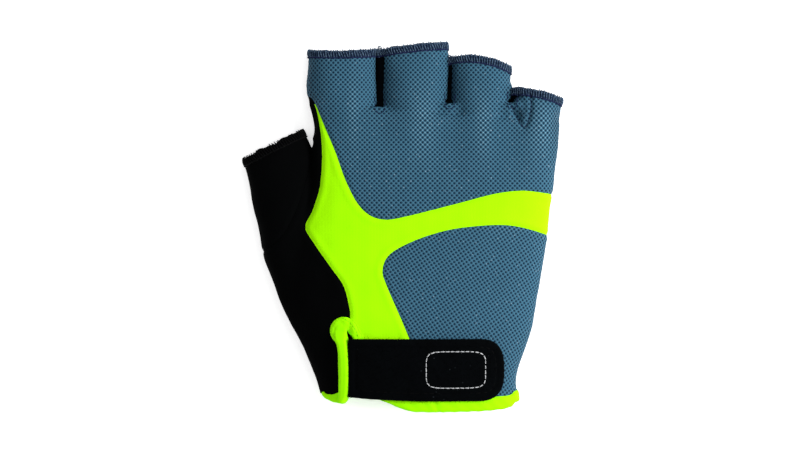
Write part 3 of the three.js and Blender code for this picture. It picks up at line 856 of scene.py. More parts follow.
@functools.cache
def skin():
    """The glove's whole outer surface: points with their normals, and triangles."""
    forms = [HAND, THUMB, *FINGER_FORMS, *WEB_FORMS]
    corners = np.vstack([np.vstack((f.left, f.right)) for f in forms])
    low, high = corners.min(0) - GRID_MARGIN, corners.max(0) + GRID_MARGIN
    x = np.arange(low[0], high[0], SKIN_STEP)
    y = np.arange(low[1], high[1], SKIN_STEP)
    z = np.arange(-1.5 * SKIN_STEP, HAND_HEIGHT + GRID_MARGIN, SKIN_STEP)
    fingers = functools.reduce(np.minimum, [field_of(f, x, y, z) for f in FINGER_FORMS])
    for web in WEB_FORMS:
        fingers = joined(fingers, field_of(web, x, y, z), BLEND)
    field = joined(field_of(HAND, x, y, z), fingers, BLEND)
    field = joined(field, field_of(THUMB, x, y, z), THUMB_BLEND)
    P, quads = surface_net(field, np.array((x[0], y[0], z[0])), SKIN_STEP)
    P = relaxed(P, quads, (0.5, 0.5, 0.5))
    T = halves(P, quads)
    base = P
    P, cut = dressed(P, normals_of(P, T))
    cut |= {f"base_{axis}": base[:, k] for k, axis in enumerate("xyz")}
    return P, normals_of(P, T), T, cut


@functools.cache
def skin_tree():
    P, _, T, _ = skin()
    return BVHTree.FromPolygons(P.tolist(), T.tolist())


# ---------------------------------------------------------------- cutting sheets
class Sheet:
    """Triangles with columns of values at their points: place, normal, plane place, cuts."""

    def __init__(self, P, N, T, flat=None, cut=None):
        self.flat = flat is not None
        self.names = list(cut) if cut else []
        columns = [P, N] + ([flat] if self.flat else [])
        columns += [cut[k][:, None] for k in self.names]
        self.V, self.T = np.hstack(columns), T

    P = property(lambda self: self.V[:, :3])
    N = property(lambda self: self.V[:, 3:6])
    UV = property(lambda self: self.V[:, 6:8])

    def cut(self, name):
        return self.V[:, (8 if self.flat else 6) + self.names.index(name)]

    def copy(self):
        other = object.__new__(Sheet)
        other.flat, other.names, other.V, other.T = self.flat, self.names, self.V, self.T
        return other

    def compact(self):
        used, T = np.unique(self.T, return_inverse=True)
        self.V, self.T = self.V[used], T.reshape(-1, 3)

    def clip(self, f, snap=0.07):
        """Keeps the part where f is positive, with its edges exactly on f = 0."""
        f = np.where(np.abs(f) < snap, 0.0, f)
        V, T = self.V, self.T
        inside = f >= 0
        n = inside[T].sum(1)
        part = T[(n == 1) | (n == 2)]
        single = inside[part] == (n[(n == 1) | (n == 2)] == 1)[:, None]
        k = single.argmax(1)
        rows = np.arange(len(part))
        a, b, c = (part[rows, (k + j) % 3] for j in range(3))
        ends = np.sort(np.vstack((np.stack((a, b), 1), np.stack((a, c), 1))), 1)
        pairs, number = np.unique(ends, axis=0, return_inverse=True)
        number = number.ravel()
        p, q = pairs.T
        t = f[p] / (f[p] - f[q])
        ids = np.where(t < 1e-6, p, np.where(t > 1 - 1e-6, q, len(V) + np.arange(len(pairs))))
        new = V[p] + (V[q] - V[p]) * t[:, None]
        ab, ac = ids[number[: len(a)]], ids[number[len(a) :]]
        lone = inside[a]
        tips = np.stack((a, ab, ac), 1)[lone]
        wide = np.vstack((np.stack((ab, b, c), 1)[~lone], np.stack((ab, c, ac), 1)[~lone]))
        T = np.vstack((T[n == 3], tips, wide))
        fine = (T[:, 0] != T[:, 1]) & (T[:, 1] != T[:, 2]) & (T[:, 2] != T[:, 0])
        self.V, self.T = np.vstack((V, new)), T[fine]
        self.compact()
        return self

    def keep(self, *names):
        for name in names:
            self.clip(self.cut(name))
        return self

    def leave(self, *names):
        for name in names:
            self.clip(-self.cut(name) - (PANEL_GAP if name != "away" else 0.0))
        return self

    def without_crumbs(self):
        """Drops scraps that aren't joined to a large part."""
        label = np.arange(len(self.V))
        while True:
            low = label[self.T].min(1)
            new = label.copy()
            for k in range(3):
                np.minimum.at(new, self.T[:, k], low)
            new = new[new]
            if (new == label).all():
                break
            label = new
        P = self.P
        face = np.cross(P[self.T[:, 1]] - P[self.T[:, 0]], P[self.T[:, 2]] - P[self.T[:, 0]])
        area = np.bincount(label[self.T[:, 0]], np.linalg.norm(face, axis=1) / 2, len(label))
        self.T = self.T[area[label[self.T[:, 0]]] > CRUMB_AREA]
        self.compact()
        return self

    def border(self):
        """Directed edges that have a triangle on one side only."""
        T = self.T
        edges = np.vstack((T[:, [0, 1]], T[:, [1, 2]], T[:, [2, 0]]))
        size = len(self.V)
        there = edges[:, 0] * size + edges[:, 1]
        back = edges[:, 1] * size + edges[:, 0]
        return edges[~np.isin(there, back)]

    def thick(self, outer, inner):
        """Closed cloth: the sheet moved out and in along its normals, with a rim."""
        n = len(self.V)
        outer, inner = (np.broadcast_to(o, n)[:, None] for o in (outer, inner))
        P = np.vstack((self.P + self.N * outer, self.P - self.N * inner))
        a, b = self.border().T
        rim = np.vstack((np.stack((b, a, a + n), 1), np.stack((b, a + n, b + n), 1)))
        T = np.vstack((self.T, self.T[:, ::-1] + n, rim))
        return P, T, np.vstack((self.UV, self.UV)) if self.flat else None


@functools.cache
def cut_skin():
    P, N, T, cut = skin()
    return Sheet(P, N, T, cut=cut)


def undressed(sheet):
    """Where the sheet's points lay before the cloth was dressed."""
    return np.stack([sheet.cut(f"base_{axis}") for axis in "xyz"], 1)


@functools.cache
def tube_tree(name):
    """The skin of one tube only, for the threads round its end."""
    P, N, T, _ = skin()
    middle, facing = P[T].mean(1), N[T].mean(1)
    form, _, across, _ = HEM_FRAMES[name]
    offset = form.locate(middle)[0]
    past, within = beyond_end(middle, name)
    outwards = (facing[:, :2] @ unit_of(across)) * np.sign(offset)
    own = (np.abs(past) < 8) & (within > -0.4) & (outwards > -0.3)
    return BVHTree.FromPolygons(P.tolist(), T[own].tolist())


PANEL_ORDER = (
    [name + "_hem" for name in HEM_FRAMES]
    + ["binding", "thumb"]
    + [f"fork_{i}" for i in SLOTS]
    + ["yoke", "upper", "lower"]
)


def panel_of(sheet, name):
    """One panel: its own zone, less everything that was cut before it."""
    before = PANEL_ORDER if name == "palm" else PANEL_ORDER[: PANEL_ORDER.index(name)]
    part = sheet.copy().leave("away")
    if name != "palm":
        part.keep(name)
    return part.leave(*before).without_crumbs()


# ---------------------------------------------------------------- objects
@functools.cache
def row_offset():
    """From the plan frame to the row frame, mm."""
    low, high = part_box("strap")
    start = place((STRAP_START, STRAP_CENTRE))
    x = low[0] / MM - start[0] - SEAM_GAP
    return np.array((x, (low[1] + high[1]) / 2 / MM - start[1], 0.0))


def linked(name, data):
    obj = bpy.data.objects.new(name, data)
    bpy.context.scene.collection.objects.link(obj)
    return obj


def mesh_object(name, P, T, material, sharp, uv=None, values=None):
    """A mesh object in the row frame from plan millimetres."""
    mesh = bpy.data.meshes.new(name)
    mesh.vertices.add(len(P))
    mesh.vertices.foreach_set("co", ((P + row_offset()) * MM).astype(np.float32).ravel())
    mesh.loops.add(T.size)
    mesh.loops.foreach_set("vertex_index", T.astype(np.int32).ravel())
    mesh.polygons.add(len(T))
    mesh.polygons.foreach_set("loop_start", np.arange(len(T), dtype=np.int32) * 3)
    mesh.update(calc_edges=True)
    mesh.polygons.foreach_set("use_smooth", np.ones(len(T), bool))
    if uv is not None:
        layer = mesh.uv_layers.new(name="weave")
        layer.data.foreach_set("uv", uv[T.ravel()].astype(np.float32).ravel())
    for key, value in (values or {}).items():
        attribute = mesh.attributes.new(key, "FLOAT", "POINT")
        attribute.data.foreach_set("value", value.astype(np.float32))
    mesh.set_sharp_from_angle(angle=math.radians(sharp))
    mesh.validate()
    mesh.materials.append(cloth_material(material))
    return linked(name, mesh)


def finish_piece(obj, slot, *nodes):
    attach(obj, BODY)
    if nodes:
        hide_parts(*nodes)
    return obj


# ---------------------------------------------------------------- woven lattice
def lattice_sheet(sheet, flat, pitch, turn, groups):
    """Cloth resampled on the square lattice of its holes. groups says which triangles each
    finger's stretch of cloth is looked up in, so that stretches may overlap when laid flat."""
    unit = pitch / LATTICE_PER_PITCH
    c, s = math.cos(math.radians(turn)), math.sin(math.radians(turn))
    grid = np.stack((flat[:, 0] * c + flat[:, 1] * s, flat[:, 1] * c - flat[:, 0] * s), 1) / unit
    i0, j0 = np.floor(grid.min(0)).astype(int)
    i1, j1 = np.ceil(grid.max(0)).astype(int) + 1
    T = sheet.T
    keys, tri, weight, quads = [], [], [], []
    wide = j1 - j0 + 1
    for mine in groups:
        chosen = np.flatnonzero(mine >= 0)
        corner = grid[T[chosen]]
        tree = BVHTree.FromPolygons(
            np.hstack((grid, np.zeros((len(grid), 1)))).tolist(), T[chosen].tolist()
        )
        found = np.full((i1 - i0, j1 - j0), -1)
        low, high = corner.reshape(-1, 2).min(0), corner.reshape(-1, 2).max(0)
        for i in range(max(i0, int(low[0])), min(i1, int(high[0]) + 2)):
            for j in range(max(j0, int(low[1])), min(j1, int(high[1]) + 2)):
                hit = tree.find_nearest((i, j, 0.0), 1e-3)
                if hit[2] is not None:
                    found[i - i0, j - j0] = hit[2]
        ii, jj = np.nonzero(found >= 0)
        which = chosen[found[ii, jj]]
        label = mine[which]
        key = label * LABEL_STEP + ii * wide + jj
        a, b, d = (grid[T[which, k]] for k in range(3))
        q = np.stack((ii + i0, jj + j0), 1).astype(float)
        v0, v1, v2 = b - a, d - a, q - a
        det = v0[:, 0] * v1[:, 1] - v0[:, 1] * v1[:, 0]
        wb = (v2[:, 0] * v1[:, 1] - v2[:, 1] * v1[:, 0]) / det
        wd = (v0[:, 0] * v2[:, 1] - v0[:, 1] * v2[:, 0]) / det
        keys.append(key)
        tri.append(which)
        weight.append(np.stack((1 - wb - wd, wb, wd), 1))
        at = np.full(found.shape, -1)
        at[ii, jj] = key
        four = np.stack((at[:-1, :-1], at[1:, :-1], at[1:, 1:], at[:-1, 1:]), -1).reshape(-1, 4)
        quads.append(four[(four >= 0).all(1)])
    keys, first = np.unique(np.concatenate(keys), return_index=True)
    tri, weight = np.concatenate(tri)[first], np.vstack(weight)[first]
    quads = np.unique(np.vstack(quads), axis=0)
    quads = np.searchsorted(keys, quads)
    cell = keys % LABEL_STEP
    q = np.stack((cell // wide + i0, cell % wide + j0), 1) / LATTICE_PER_PITCH
    V = (sheet.V[T[tri]] * weight[:, :, None]).sum(1)
    fine = sheet.copy()
    fine.flat = True
    fine.V = np.hstack((V[:, :6], q, V[:, 6:]))
    fine.V[:, 3:6] /= np.linalg.norm(fine.V[:, 3:6], axis=1)[:, None]
    fine.T = halves(fine.P, quads)
    fine.compact()
    return fine


def finger_groups(sheet):
    """For each finger, the triangles its cloth is looked up in: 0 the hand's, 1 its own."""
    middle = undressed(sheet)[sheet.T].mean(1)
    _, ahead = knuckle_place(middle)
    owner = np.zeros(len(middle), int)
    for k, form in enumerate(FINGER_FORMS):
        offset, half, *_ = form.locate(middle)
        start = np.where(offset < 0, FINGERS[max(k - 1, 0)]["fork"], FINGERS[min(k, 2)]["fork"])
        mine = (np.abs(offset) < half + FINGER_GAP / 2) & (ahead > start + 0.2)
        owner = np.where(mine & (owner == 0), k + 1, owner)
    return [np.where(owner == 0, 0, np.where(owner == k + 1, k + 1, -1)) for k in range(4)]


def spare_length(form, P):
    """How much longer the way over the cloth is than in plan, from the form's crown line."""
    offset, half, height, crown, _, _ = form.locate(P)
    level = EQUATOR * height
    rise = height - level
    up = np.clip((P[:, 2] - level) / rise, 0, 1)
    a = (1 - up**crown) ** (1 / crown)
    angle = np.arctan2(up ** (crown / 2), a ** (crown / 2))
    run, before = np.zeros(len(P)), None
    for share in np.linspace(0, 1, 17):
        turn = math.pi / 2 + (angle - math.pi / 2) * share
        x = half * np.clip(np.cos(turn), 0, 1) ** (2 / crown)
        z = rise * np.clip(np.sin(turn), 0, 1) ** (2 / crown)
        if before is not None:
            run += np.hypot(x - before[0], z - before[1])
        before = (x, z)
    spare = run - half * a + np.maximum(level - P[:, 2], 0)
    return spare * np.sign(offset), np.abs(offset) / half


def flat_places(sheet):
    """Places of a sheet's points as its cloth would lie flat, mm."""
    P = undressed(sheet)
    hand, _ = spare_length(HAND, P)
    found = [spare_length(form, P) for form in FINGER_FORMS]
    nearest = np.argmin([reach for _, reach in found], axis=0)
    finger = np.choose(nearest, [spare for spare, _ in found])
    share = smooth_step(-9.0, 1.5, knuckle_place(P)[1])
    return np.stack((P[:, 0] + hand * (1 - share) + finger * share, P[:, 1]), 1)


def hole_shape(q):
    """1 in the middle of each hole of the mesh cloth, 0 on its yarn."""
    d = q - np.round(q)
    return smooth_step(0.42, 0.1, np.hypot(d[:, 0], d[:, 1]))


def spots(P, places):
    """Soft oval patches: place in shares, reach across and ahead in mm, amount."""
    total = np.zeros(len(P))
    for at, across, ahead, amount in places:
        w = (P[:, :2] - place(at)) / (across, ahead)
        total += amount * np.exp(-((w**2).sum(1)))
    return total


def mesh_shade(P):
    """Painted shade: how much darker the mesh is painted in its folds and beside the slots."""
    shade = spots(P, PAINTED_SHADE_PLACES)
    for i in SLOTS:
        across, ahead = slot_place(P, i)
        beside = bell(np.maximum(across, 0), 2.4) * (across > 0)
        shade += 0.7 * beside * smooth_step(-1, 2, ahead)
    return np.clip(shade, 0, 0.95)


def mesh_glint(P):
    """Painted highlight: where the mesh's yarns over the hand are painted to shine."""
    return np.clip(spots(P, PAINTED_HIGHLIGHT_PLACES), 0, 1)


def mesh_panel(zone, turn, pitch, relief, wall):
    """A panel of open air mesh, with each hole sunk into the cloth."""
    sheet = cut_skin().copy().leave("away")
    above_seam = sheet.P[:, 2] - SIDE_SEAM_HEIGHT
    margin = np.minimum(sheet.cut(zone) + SEAM_SPARE, above_seam + SIDE_SPARE)
    sheet.clip(margin)
    if zone == "upper":
        for i in SLOTS:
            sheet.clip(-sheet.cut(f"fork_{i}") + 0.25)
    sheet.without_crumbs()
    flat = flat_places(sheet)
    groups = finger_groups(sheet) if zone == "upper" else [np.zeros(len(sheet.T), int)]
    fine = lattice_sheet(sheet, flat, pitch, turn, groups)
    part = panel_of(fine, zone)
    depth = hole_shape(part.UV) * relief
    depth *= smooth_step(0.15, 0.8, part.cut(zone))
    values = {"shade": mesh_shade(part.P), "glint": mesh_glint(part.P)}
    P, T, uv = part.thick(0.0, wall)
    P[: len(depth)] -= part.N * depth[:, None]
    return P, T, uv, {k: np.tile(v, 2) for k, v in values.items()}


# ---------------------------------------------------------------- node helpers
def connect(tree, node, inputs):
    """Sets a node's inputs, each to a value or to another node's output."""
    for key, value in inputs.items():
        if isinstance(value, bpy.types.NodeSocket):
            tree.links.new(value, node.inputs[key])
        else:
            node.inputs[key].default_value = value
    return node


def add(tree, kind, inputs=None, **settings):
    node = tree.nodes.new(kind)
    for key, value in settings.items():
        setattr(node, key, value)
    return connect(tree, node, inputs or {})


def maths(tree, operation, a, b=0.0, c=0.0):
    return add(tree, "ShaderNodeMath", {0: a, 1: b, 2: c}, operation=operation).outputs[0]


def times(tree, a, b):
    return maths(tree, "MULTIPLY", a, b)


def plus(tree, a, b):
    return maths(tree, "ADD", a, b)


def vector_maths(tree, operation, a, b=(0.0, 0.0, 0.0)):
    return add(tree, "ShaderNodeVectorMath", {0: a, 1: b}, operation=operation).outputs


def vector(tree, **parts):
    """A vector from its parts x, y and z; a part left out is 0."""
    inputs = {"xyz".index(axis): value for axis, value in parts.items()}
    return add(tree, "ShaderNodeCombineXYZ", inputs).outputs[0]


def mixed(tree, factor, a, b):
    return add(tree, "ShaderNodeMix", {0: factor, 6: a, 7: b}, data_type="RGBA").outputs[2]


def ranged(tree, value, low, high):
    """0 at the low end of a range, 1 at its high end, with soft ends."""
    inputs = {"Value": value, "From Min": low, "From Max": high, "To Min": 0.0, "To Max": 1.0}
    return add(tree, "ShaderNodeMapRange", inputs, interpolation_type="SMOOTHSTEP").outputs[0]


def noise(tree, at, scale, detail=2.0):
    inputs = {"Vector": at, "Scale": scale, "Detail": detail}
    return add(tree, "ShaderNodeTexNoise", inputs).outputs[0]


def wave(tree, at, scale, distortion, bands):
    inputs = {"Vector": at, "Scale": scale, "Distortion": distortion, "Detail": 1.0}
    return add(tree, "ShaderNodeTexWave", inputs, bands_direction=bands).outputs["Fac"]


def rgba(colour):
    return (*colour[:3], 1.0)


def new_group(name, kind, inputs, outputs):
    """A node group with its sockets, each given as name, kind and sometimes default."""
    tree = bpy.data.node_groups.new(name, kind)
    for way, sockets in (("INPUT", inputs), ("OUTPUT", outputs)):
        for title, socket_kind, *default in sockets:
            socket_type = "NodeSocket" + socket_kind
            socket = tree.interface.new_socket(title, in_out=way, socket_type=socket_type)
            if default:
                socket.default_value = default[0]
    source = tree.nodes.new("NodeGroupInput").outputs
    return tree, source, tree.nodes.new("NodeGroupOutput").inputs


# ---------------------------------------------------------------- shader groups
def uneven_cloth(tree, source):
    """Soft large patches and a fine grain, lighter and darker than the cloth's own colour."""
    patch = noise(tree, source["Vector"], source["Patches"], 3.0)
    grain = noise(tree, source["Vector"], source["Grain"])
    total = plus(tree, times(tree, patch, 0.6), times(tree, grain, 0.4))
    swing = times(tree, maths(tree, "SUBTRACT", total, 0.5), source["Amount"])
    inputs = {0: source["Colour"], "Scale": plus(tree, 1.0, swing)}
    scaled = add(tree, "ShaderNodeVectorMath", inputs, operation="SCALE")
    return {"Colour": scaled.outputs[0], "Level": total}


def air_mesh(tree, source):
    """Square lattice of small holes between yarns, one hole for each whole step of the place."""
    cell = vector_maths(tree, "ADD", source["Vector"], (0.5, 0.5, 0.5))[0]
    cell = vector_maths(tree, "FRACTION", cell)[0]
    cell = vector_maths(tree, "SUBTRACT", cell, (0.5, 0.5, 0.5))[0]
    flat = vector_maths(tree, "MULTIPLY", cell, (1.0, 1.0, 0.0))[0]
    reach = vector_maths(tree, "LENGTH", flat)["Value"]
    wide, narrow = times(tree, source["Hole"], 1.35), times(tree, source["Hole"], 0.55)
    rim = ranged(tree, reach, source["Hole"], 0.62)
    yarn = wave(tree, source["Vector"], 3.2, 1.5, "DIAGONAL")
    height = plus(tree, times(tree, rim, 0.7), times(tree, yarn, 0.3))
    return {"Hole": ranged(tree, reach, wide, narrow), "Yarn": height}


def fine_knit(tree, source):
    """Close rows of small loops."""
    rows = wave(tree, source["Vector"], source["Rows"], 0.6, "X")
    loops = wave(tree, source["Vector"], source["Rows"], 0.8, "Y")
    return {"Height": times(tree, rows, loops)}


def lint_and_glints(tree, source):
    """Scattered light flecks: lint on the strap, painted glints on the mesh."""
    inputs = {"Vector": source["Vector"], "Scale": source["Scale"], "Randomness": 1.0}
    cells = add(tree, "ShaderNodeTexVoronoi", inputs).outputs
    dot = ranged(tree, cells["Distance"], source["Size"], 0.0)
    chance = maths(tree, "FRACT", times(tree, cells["Color"], 7.3))
    return {"Mask": times(tree, dot, maths(tree, "GREATER_THAN", chance, source["Bareness"]))}


# Each group's builder, inputs besides the place, and outputs.
EFFECTS = {
    "Uneven cloth": (
        uneven_cloth,
        (
            ("Colour", "Color"),
            ("Patches", "Float", 40.0),
            ("Grain", "Float", 900.0),
            ("Amount", "Float", 0.3),
        ),
        (("Colour", "Color"), ("Level", "Float")),
    ),
    "Air mesh": (air_mesh, (("Hole", "Float", 0.26),), (("Hole", "Float"), ("Yarn", "Float"))),
    "Fine knit": (fine_knit, (("Rows", "Float", 400.0),), (("Height", "Float"),)),
    "Lint and glints": (
        lint_and_glints,
        (("Scale", "Float", 300.0), ("Size", "Float", 0.1), ("Bareness", "Float", 0.8)),
        (("Mask", "Float"),),
    ),
}


@functools.cache
def effect(name):
    build, inputs, outputs = EFFECTS[name]
    inputs = (("Vector", "Vector"), *inputs)
    tree, source, sink = new_group(name, "ShaderNodeTree", inputs, outputs)
    for title, value in build(tree, source).items():
        tree.links.new(value, sink[title])
    return tree


def group(tree, name, **inputs):
    return connect(tree, add(tree, "ShaderNodeGroup", node_tree=effect(name)), inputs).outputs


# ---------------------------------------------------------------- materials
# Painted glints scattered over the air mesh.
GLINT_COLOUR = (0.6, 0.75, 0.85, 1.0)
# Painted highlight of the mesh's yarns on the crowns.
PAINTED_HIGHLIGHT_COLOUR = (0.3, 0.5, 0.6, 1.0)
# Painted shade of the mesh in its folds and beside the slots.
PAINTED_SHADE_COLOUR = (0.001, 0.006, 0.016, 1.0)
FLECK_COLOUR = (0.05, 0.06, 0.07, 1.0)
FLOOR_GLOW = 0.5


def uneven(tree, where, colour, patches, grain, amount):
    inputs = {"Colour": colour, "Patches": patches, "Grain": grain, "Amount": amount}
    return group(tree, "Uneven cloth", Vector=where["Object"], **inputs)


def coat(tree, colour, roughness, specular, height, depth, strength):
    """Gives the material's shader its colour, finish and relief; depth in metres."""
    relief = {"Height": height, "Distance": depth, "Strength": strength}
    inputs = {"Base Color": colour, "Roughness": roughness, "Specular IOR Level": specular}
    inputs["Normal"] = add(tree, "ShaderNodeBump", relief).outputs[0]
    connect(tree, tree.nodes["Principled BSDF"], inputs)


def point_mask(tree, name):
    return add(tree, "ShaderNodeAttribute", attribute_name=name).outputs["Fac"]


def paint_mesh(tree, where, yarn, raised, hole):
    weave = group(tree, "Air mesh", Vector=where["UV"], Hole=0.31)
    cloth = uneven(tree, where, yarn, 55.0, 1500.0, 0.5)
    # Painted highlight: yarns are painted lighter the higher they stand, darker toward the sunk
    # holes.
    light = mixed(tree, times(tree, weave["Yarn"], 0.55), cloth["Colour"], raised)
    # Painted glints: light specks scattered over the mesh.
    glint = group(tree, "Lint and glints", Vector=where["Object"], Scale=900.0, Size=0.35, Bareness=0.9)
    light = mixed(tree, times(tree, glint["Mask"], 0.25), light, GLINT_COLOUR)
    # Painted highlight dots on the yarn tops where the 'glint' attribute is set.
    dot = times(tree, ranged(tree, weave["Yarn"], 0.72, 0.92), point_mask(tree, "glint"))
    light = mixed(tree, times(tree, dot, 0.8), light, PAINTED_HIGHLIGHT_COLOUR)
    colour = mixed(tree, weave["Hole"], light, hole)
    # Painted shade where the 'shade' attribute is set.
    colour = mixed(tree, point_mask(tree, "shade"), colour, PAINTED_SHADE_COLOUR)
    coat(tree, colour, 0.62, 0.08, weave["Yarn"], 0.00018, 0.9)


def paint_lime(tree, where, tone):
    cloth = uneven(tree, where, tone, 30.0, 1400.0, 0.1)
    knit = group(tree, "Fine knit", Vector=where["Object"], Rows=520.0)
    coat(tree, cloth["Colour"], 0.7, 0.02, knit["Height"], 0.00006, 0.5)


def paint_black(tree, where, tone):
    cloth = uneven(tree, where, tone, 60.0, 1100.0, 1.2)
    coat(tree, cloth["Colour"], 0.85, 0.012, cloth["Level"], 0.00025, 0.7)


def paint_strap(tree, where, tone):
    cloth = uneven(tree, where, tone, 120.0, 2600.0, 1.4)
    fleck = group(tree, "Lint and glints", Vector=where["Object"], Scale=420.0, Size=0.16, Bareness=0.86)
    colour = mixed(tree, times(tree, fleck["Mask"], 0.35), cloth["Colour"], FLECK_COLOUR)
    coat(tree, colour, 0.95, 0.02, cloth["Level"], 0.0004, 0.8)


def paint_thread(tree, where, dark, light):
    strand = noise(tree, where["Object"], 1600.0)
    colour = mixed(tree, ranged(tree, strand, 0.35, 0.65), dark, light)
    coat(tree, colour, 0.7, 0.04, strand, 0.0001, 0.6)


def paint_floor(tree, where, tone):
    tone_below = rgba([c * 0.985 for c in tone])
    inputs = {
        "Base Color": mixed(tree, noise(tree, where["Object"], 3.0), tone, tone_below),
        "Emission Color": (1.0, 1.0, 1.0, 1.0),
        "Emission Strength": FLOOR_GLOW,
        "Roughness": 0.9,
        "Specular IOR Level": 0.0,
    }
    connect(tree, tree.nodes["Principled BSDF"], inputs)


# How each material is painted: with colours of the sidebar, by name, or of its own.
PAINTS = {
    "mesh_cloth": (paint_mesh, "mesh_yarn", "mesh_light", "mesh_hole"),
    "lime_cloth": (paint_lime, "lime"),
    "lime_tape": (paint_lime, "tape"),
    "palm_cloth": (paint_black, "palm"),
    "fourchette_cloth": (paint_black, "fourchette"),
    "brushed_loop": (paint_strap, "strap"),
    "hem_band": (paint_thread, "hem_dark", "hem"),
    "overlock_thread": (paint_thread, "hem", "hem_light"),
    "black_thread": (paint_thread, (0.0006, 0.0006, 0.0007), (0.0018, 0.0018, 0.002)),
    "navy_thread": (paint_thread, (0.004, 0.006, 0.028), (0.012, 0.018, 0.06)),
    "lime_thread": (paint_thread, (0.2, 0.56, 0.001), (0.28, 0.7, 0.002)),
    "grey_thread": (paint_thread, (0.3, 0.31, 0.32), (0.5, 0.51, 0.52)),
    "floor": (paint_floor, "floor"),
}


@functools.cache
def cloth_material(name):
    material = bpy.data.materials.new(name)
    material.use_nodes = True
    tree = material.node_tree
    colours = bpy.context.scene.glove_colours
    paint, *tones = PAINTS[name]
    tones = [rgba(getattr(colours, t) if isinstance(t, str) else t) for t in tones]
    paint(tree, add(tree, "ShaderNodeTexCoord").outputs, *tones)
    return material


# ---------------------------------------------------------------- stitches by Geometry Nodes
def geometry_group(name, lengths, material):
    inputs = [(title, "Float", default) for title, default in lengths]
    inputs = [("Geometry", "Geometry"), *inputs, ("Seed", "Int", 1), (material, "Material")]
    return new_group(name, "GeometryNodeTree", inputs, [("Geometry", "Geometry")])


def bent_thread(tree, thickness, steps, sides, ends):
    """A round thread along a curve with a start, a middle and an end."""
    ends = dict(zip(("Start", "Middle", "End"), ends))
    bend = add(tree, "GeometryNodeCurveQuadraticBezier", {"Resolution": steps, **ends})
    inputs = {"Resolution": sides, "Radius": times(tree, thickness, 0.5)}
    ring = add(tree, "GeometryNodeCurvePrimitiveCircle", inputs)
    inputs = {"Curve": bend.outputs[0], "Profile Curve": ring.outputs[0], "Fill Caps": True}
    return add(tree, "GeometryNodeCurveToMesh", inputs).outputs[0]


def random_value(tree, low, high, seed):
    inputs = {2: low, 3: high, "Seed": seed}
    return add(tree, "FunctionNodeRandomValue", inputs, data_type="FLOAT").outputs[1]


def set_out(tree, points, thread, turn, spin, size, material):
    """Real copies of a thread on points, each turned, then spun about itself and scaled."""
    inputs = {0: turn, 1: spin}
    turned = add(tree, "FunctionNodeRotateRotation", inputs, rotation_space="LOCAL").outputs[0]
    inputs = {"Points": points, "Instance": thread, "Rotation": turned, "Scale": size}
    rows = add(tree, "GeometryNodeInstanceOnPoints", inputs)
    real = add(tree, "GeometryNodeRealizeInstances", {0: rows.outputs[0]})
    inputs = {"Geometry": real.outputs[0], "Material": material}
    return add(tree, "GeometryNodeSetMaterial", inputs).outputs[0]


@functools.cache
def stitch_tree():
    """Bent threads on points that carry the directions 'up' and 'along'."""
    defaults = (0.002, 0.0, 0.0004, 0.0003, 0.0001, 0.1)
    lengths = zip((title.capitalize() for title in THREAD_SIZES), defaults)
    tree, source, sink = geometry_group("Stitch row", lengths, "Thread")

    def corner(sign):
        x, y = (times(tree, source[title], sign * 0.5) for title in ("Length", "Slant"))
        return vector(tree, x=x, y=y, z=times(tree, source["Sink"], -1.0))

    def direction_of(name):
        inputs = {"Name": name}
        node = add(tree, "GeometryNodeInputNamedAttribute", inputs, data_type="FLOAT_VECTOR")
        return node.outputs[0]

    ends = corner(-1), vector(tree, z=times(tree, source["Arch"], 2.0)), corner(1)
    thread = bent_thread(tree, source["Thickness"], 4, 5, ends)
    inputs = {"Primary Axis": direction_of("up"), "Secondary Axis": direction_of("along")}
    axes = dict(primary_axis="Z", secondary_axis="X")
    turn = add(tree, "FunctionNodeAxesToRotation", inputs, **axes).outputs[0]
    least = maths(tree, "SUBTRACT", 1.0, source["Uneven"])
    size = random_value(tree, least, plus(tree, 1.0, source["Uneven"]), source["Seed"])
    low, high = (times(tree, source["Uneven"], sign * 1.5) for sign in (-1, 1))
    angle = random_value(tree, low, high, plus(tree, source["Seed"], 7.0))
    inputs = {"Axis": (0.0, 0.0, 1.0), "Angle": angle}
    spin = add(tree, "FunctionNodeAxisAngleToRotation", inputs).outputs[0]
    points = add(tree, "GeometryNodeMeshToPoints", {"Mesh": source["Geometry"]}).outputs[0]
    made = set_out(tree, points, thread, turn, spin, size, source["Thread"])
    smooth = add(tree, "GeometryNodeSetShadeSmooth", {0: made})
    tree.links.new(smooth.outputs[0], sink[0])
    return tree


@functools.cache
def fuzz_tree():
    """Short bent fibres spread over the faces of a piece."""
    lengths = (
        ("Density", 1.0e6), ("Length", 0.0012), ("Thickness", 0.00008), ("Wildness", 0.9)
    )
    tree, source, sink = geometry_group("Fibre fuzz", lengths, "Fibre")
    inputs = {"Mesh": source["Geometry"], "Density": source["Density"], "Seed": source["Seed"]}
    spread = add(tree, "GeometryNodeDistributePointsOnFaces", inputs).outputs

    def part(share):
        return times(tree, source["Length"], share)

    middle = vector(tree, x=part(0.15), z=part(0.55))
    tip = vector(tree, x=part(0.8), y=part(0.1), z=part(0.45))
    ends = (0.0, 0.0, -0.0001), middle, tip
    fibre = bent_thread(tree, source["Thickness"], 3, 3, ends)
    low = times(tree, source["Wildness"], -1.0)
    inputs = {
        0: vector(tree, x=low, y=low, z=-3.14),
        1: vector(tree, x=source["Wildness"], y=source["Wildness"], z=3.14),
        "Seed": plus(tree, source["Seed"], 3.0),
    }
    wild = add(tree, "FunctionNodeRandomValue", inputs, data_type="FLOAT_VECTOR").outputs[0]
    spin = add(tree, "FunctionNodeEulerToRotation", {0: wild}).outputs[0]
    size = random_value(tree, 0.5, 1.3, plus(tree, source["Seed"], 5.0))
    turn = spread["Rotation"]
    made = set_out(tree, spread[0], fibre, turn, spin, size, source["Fibre"])
    tree.links.new(made, sink[0])
    return tree


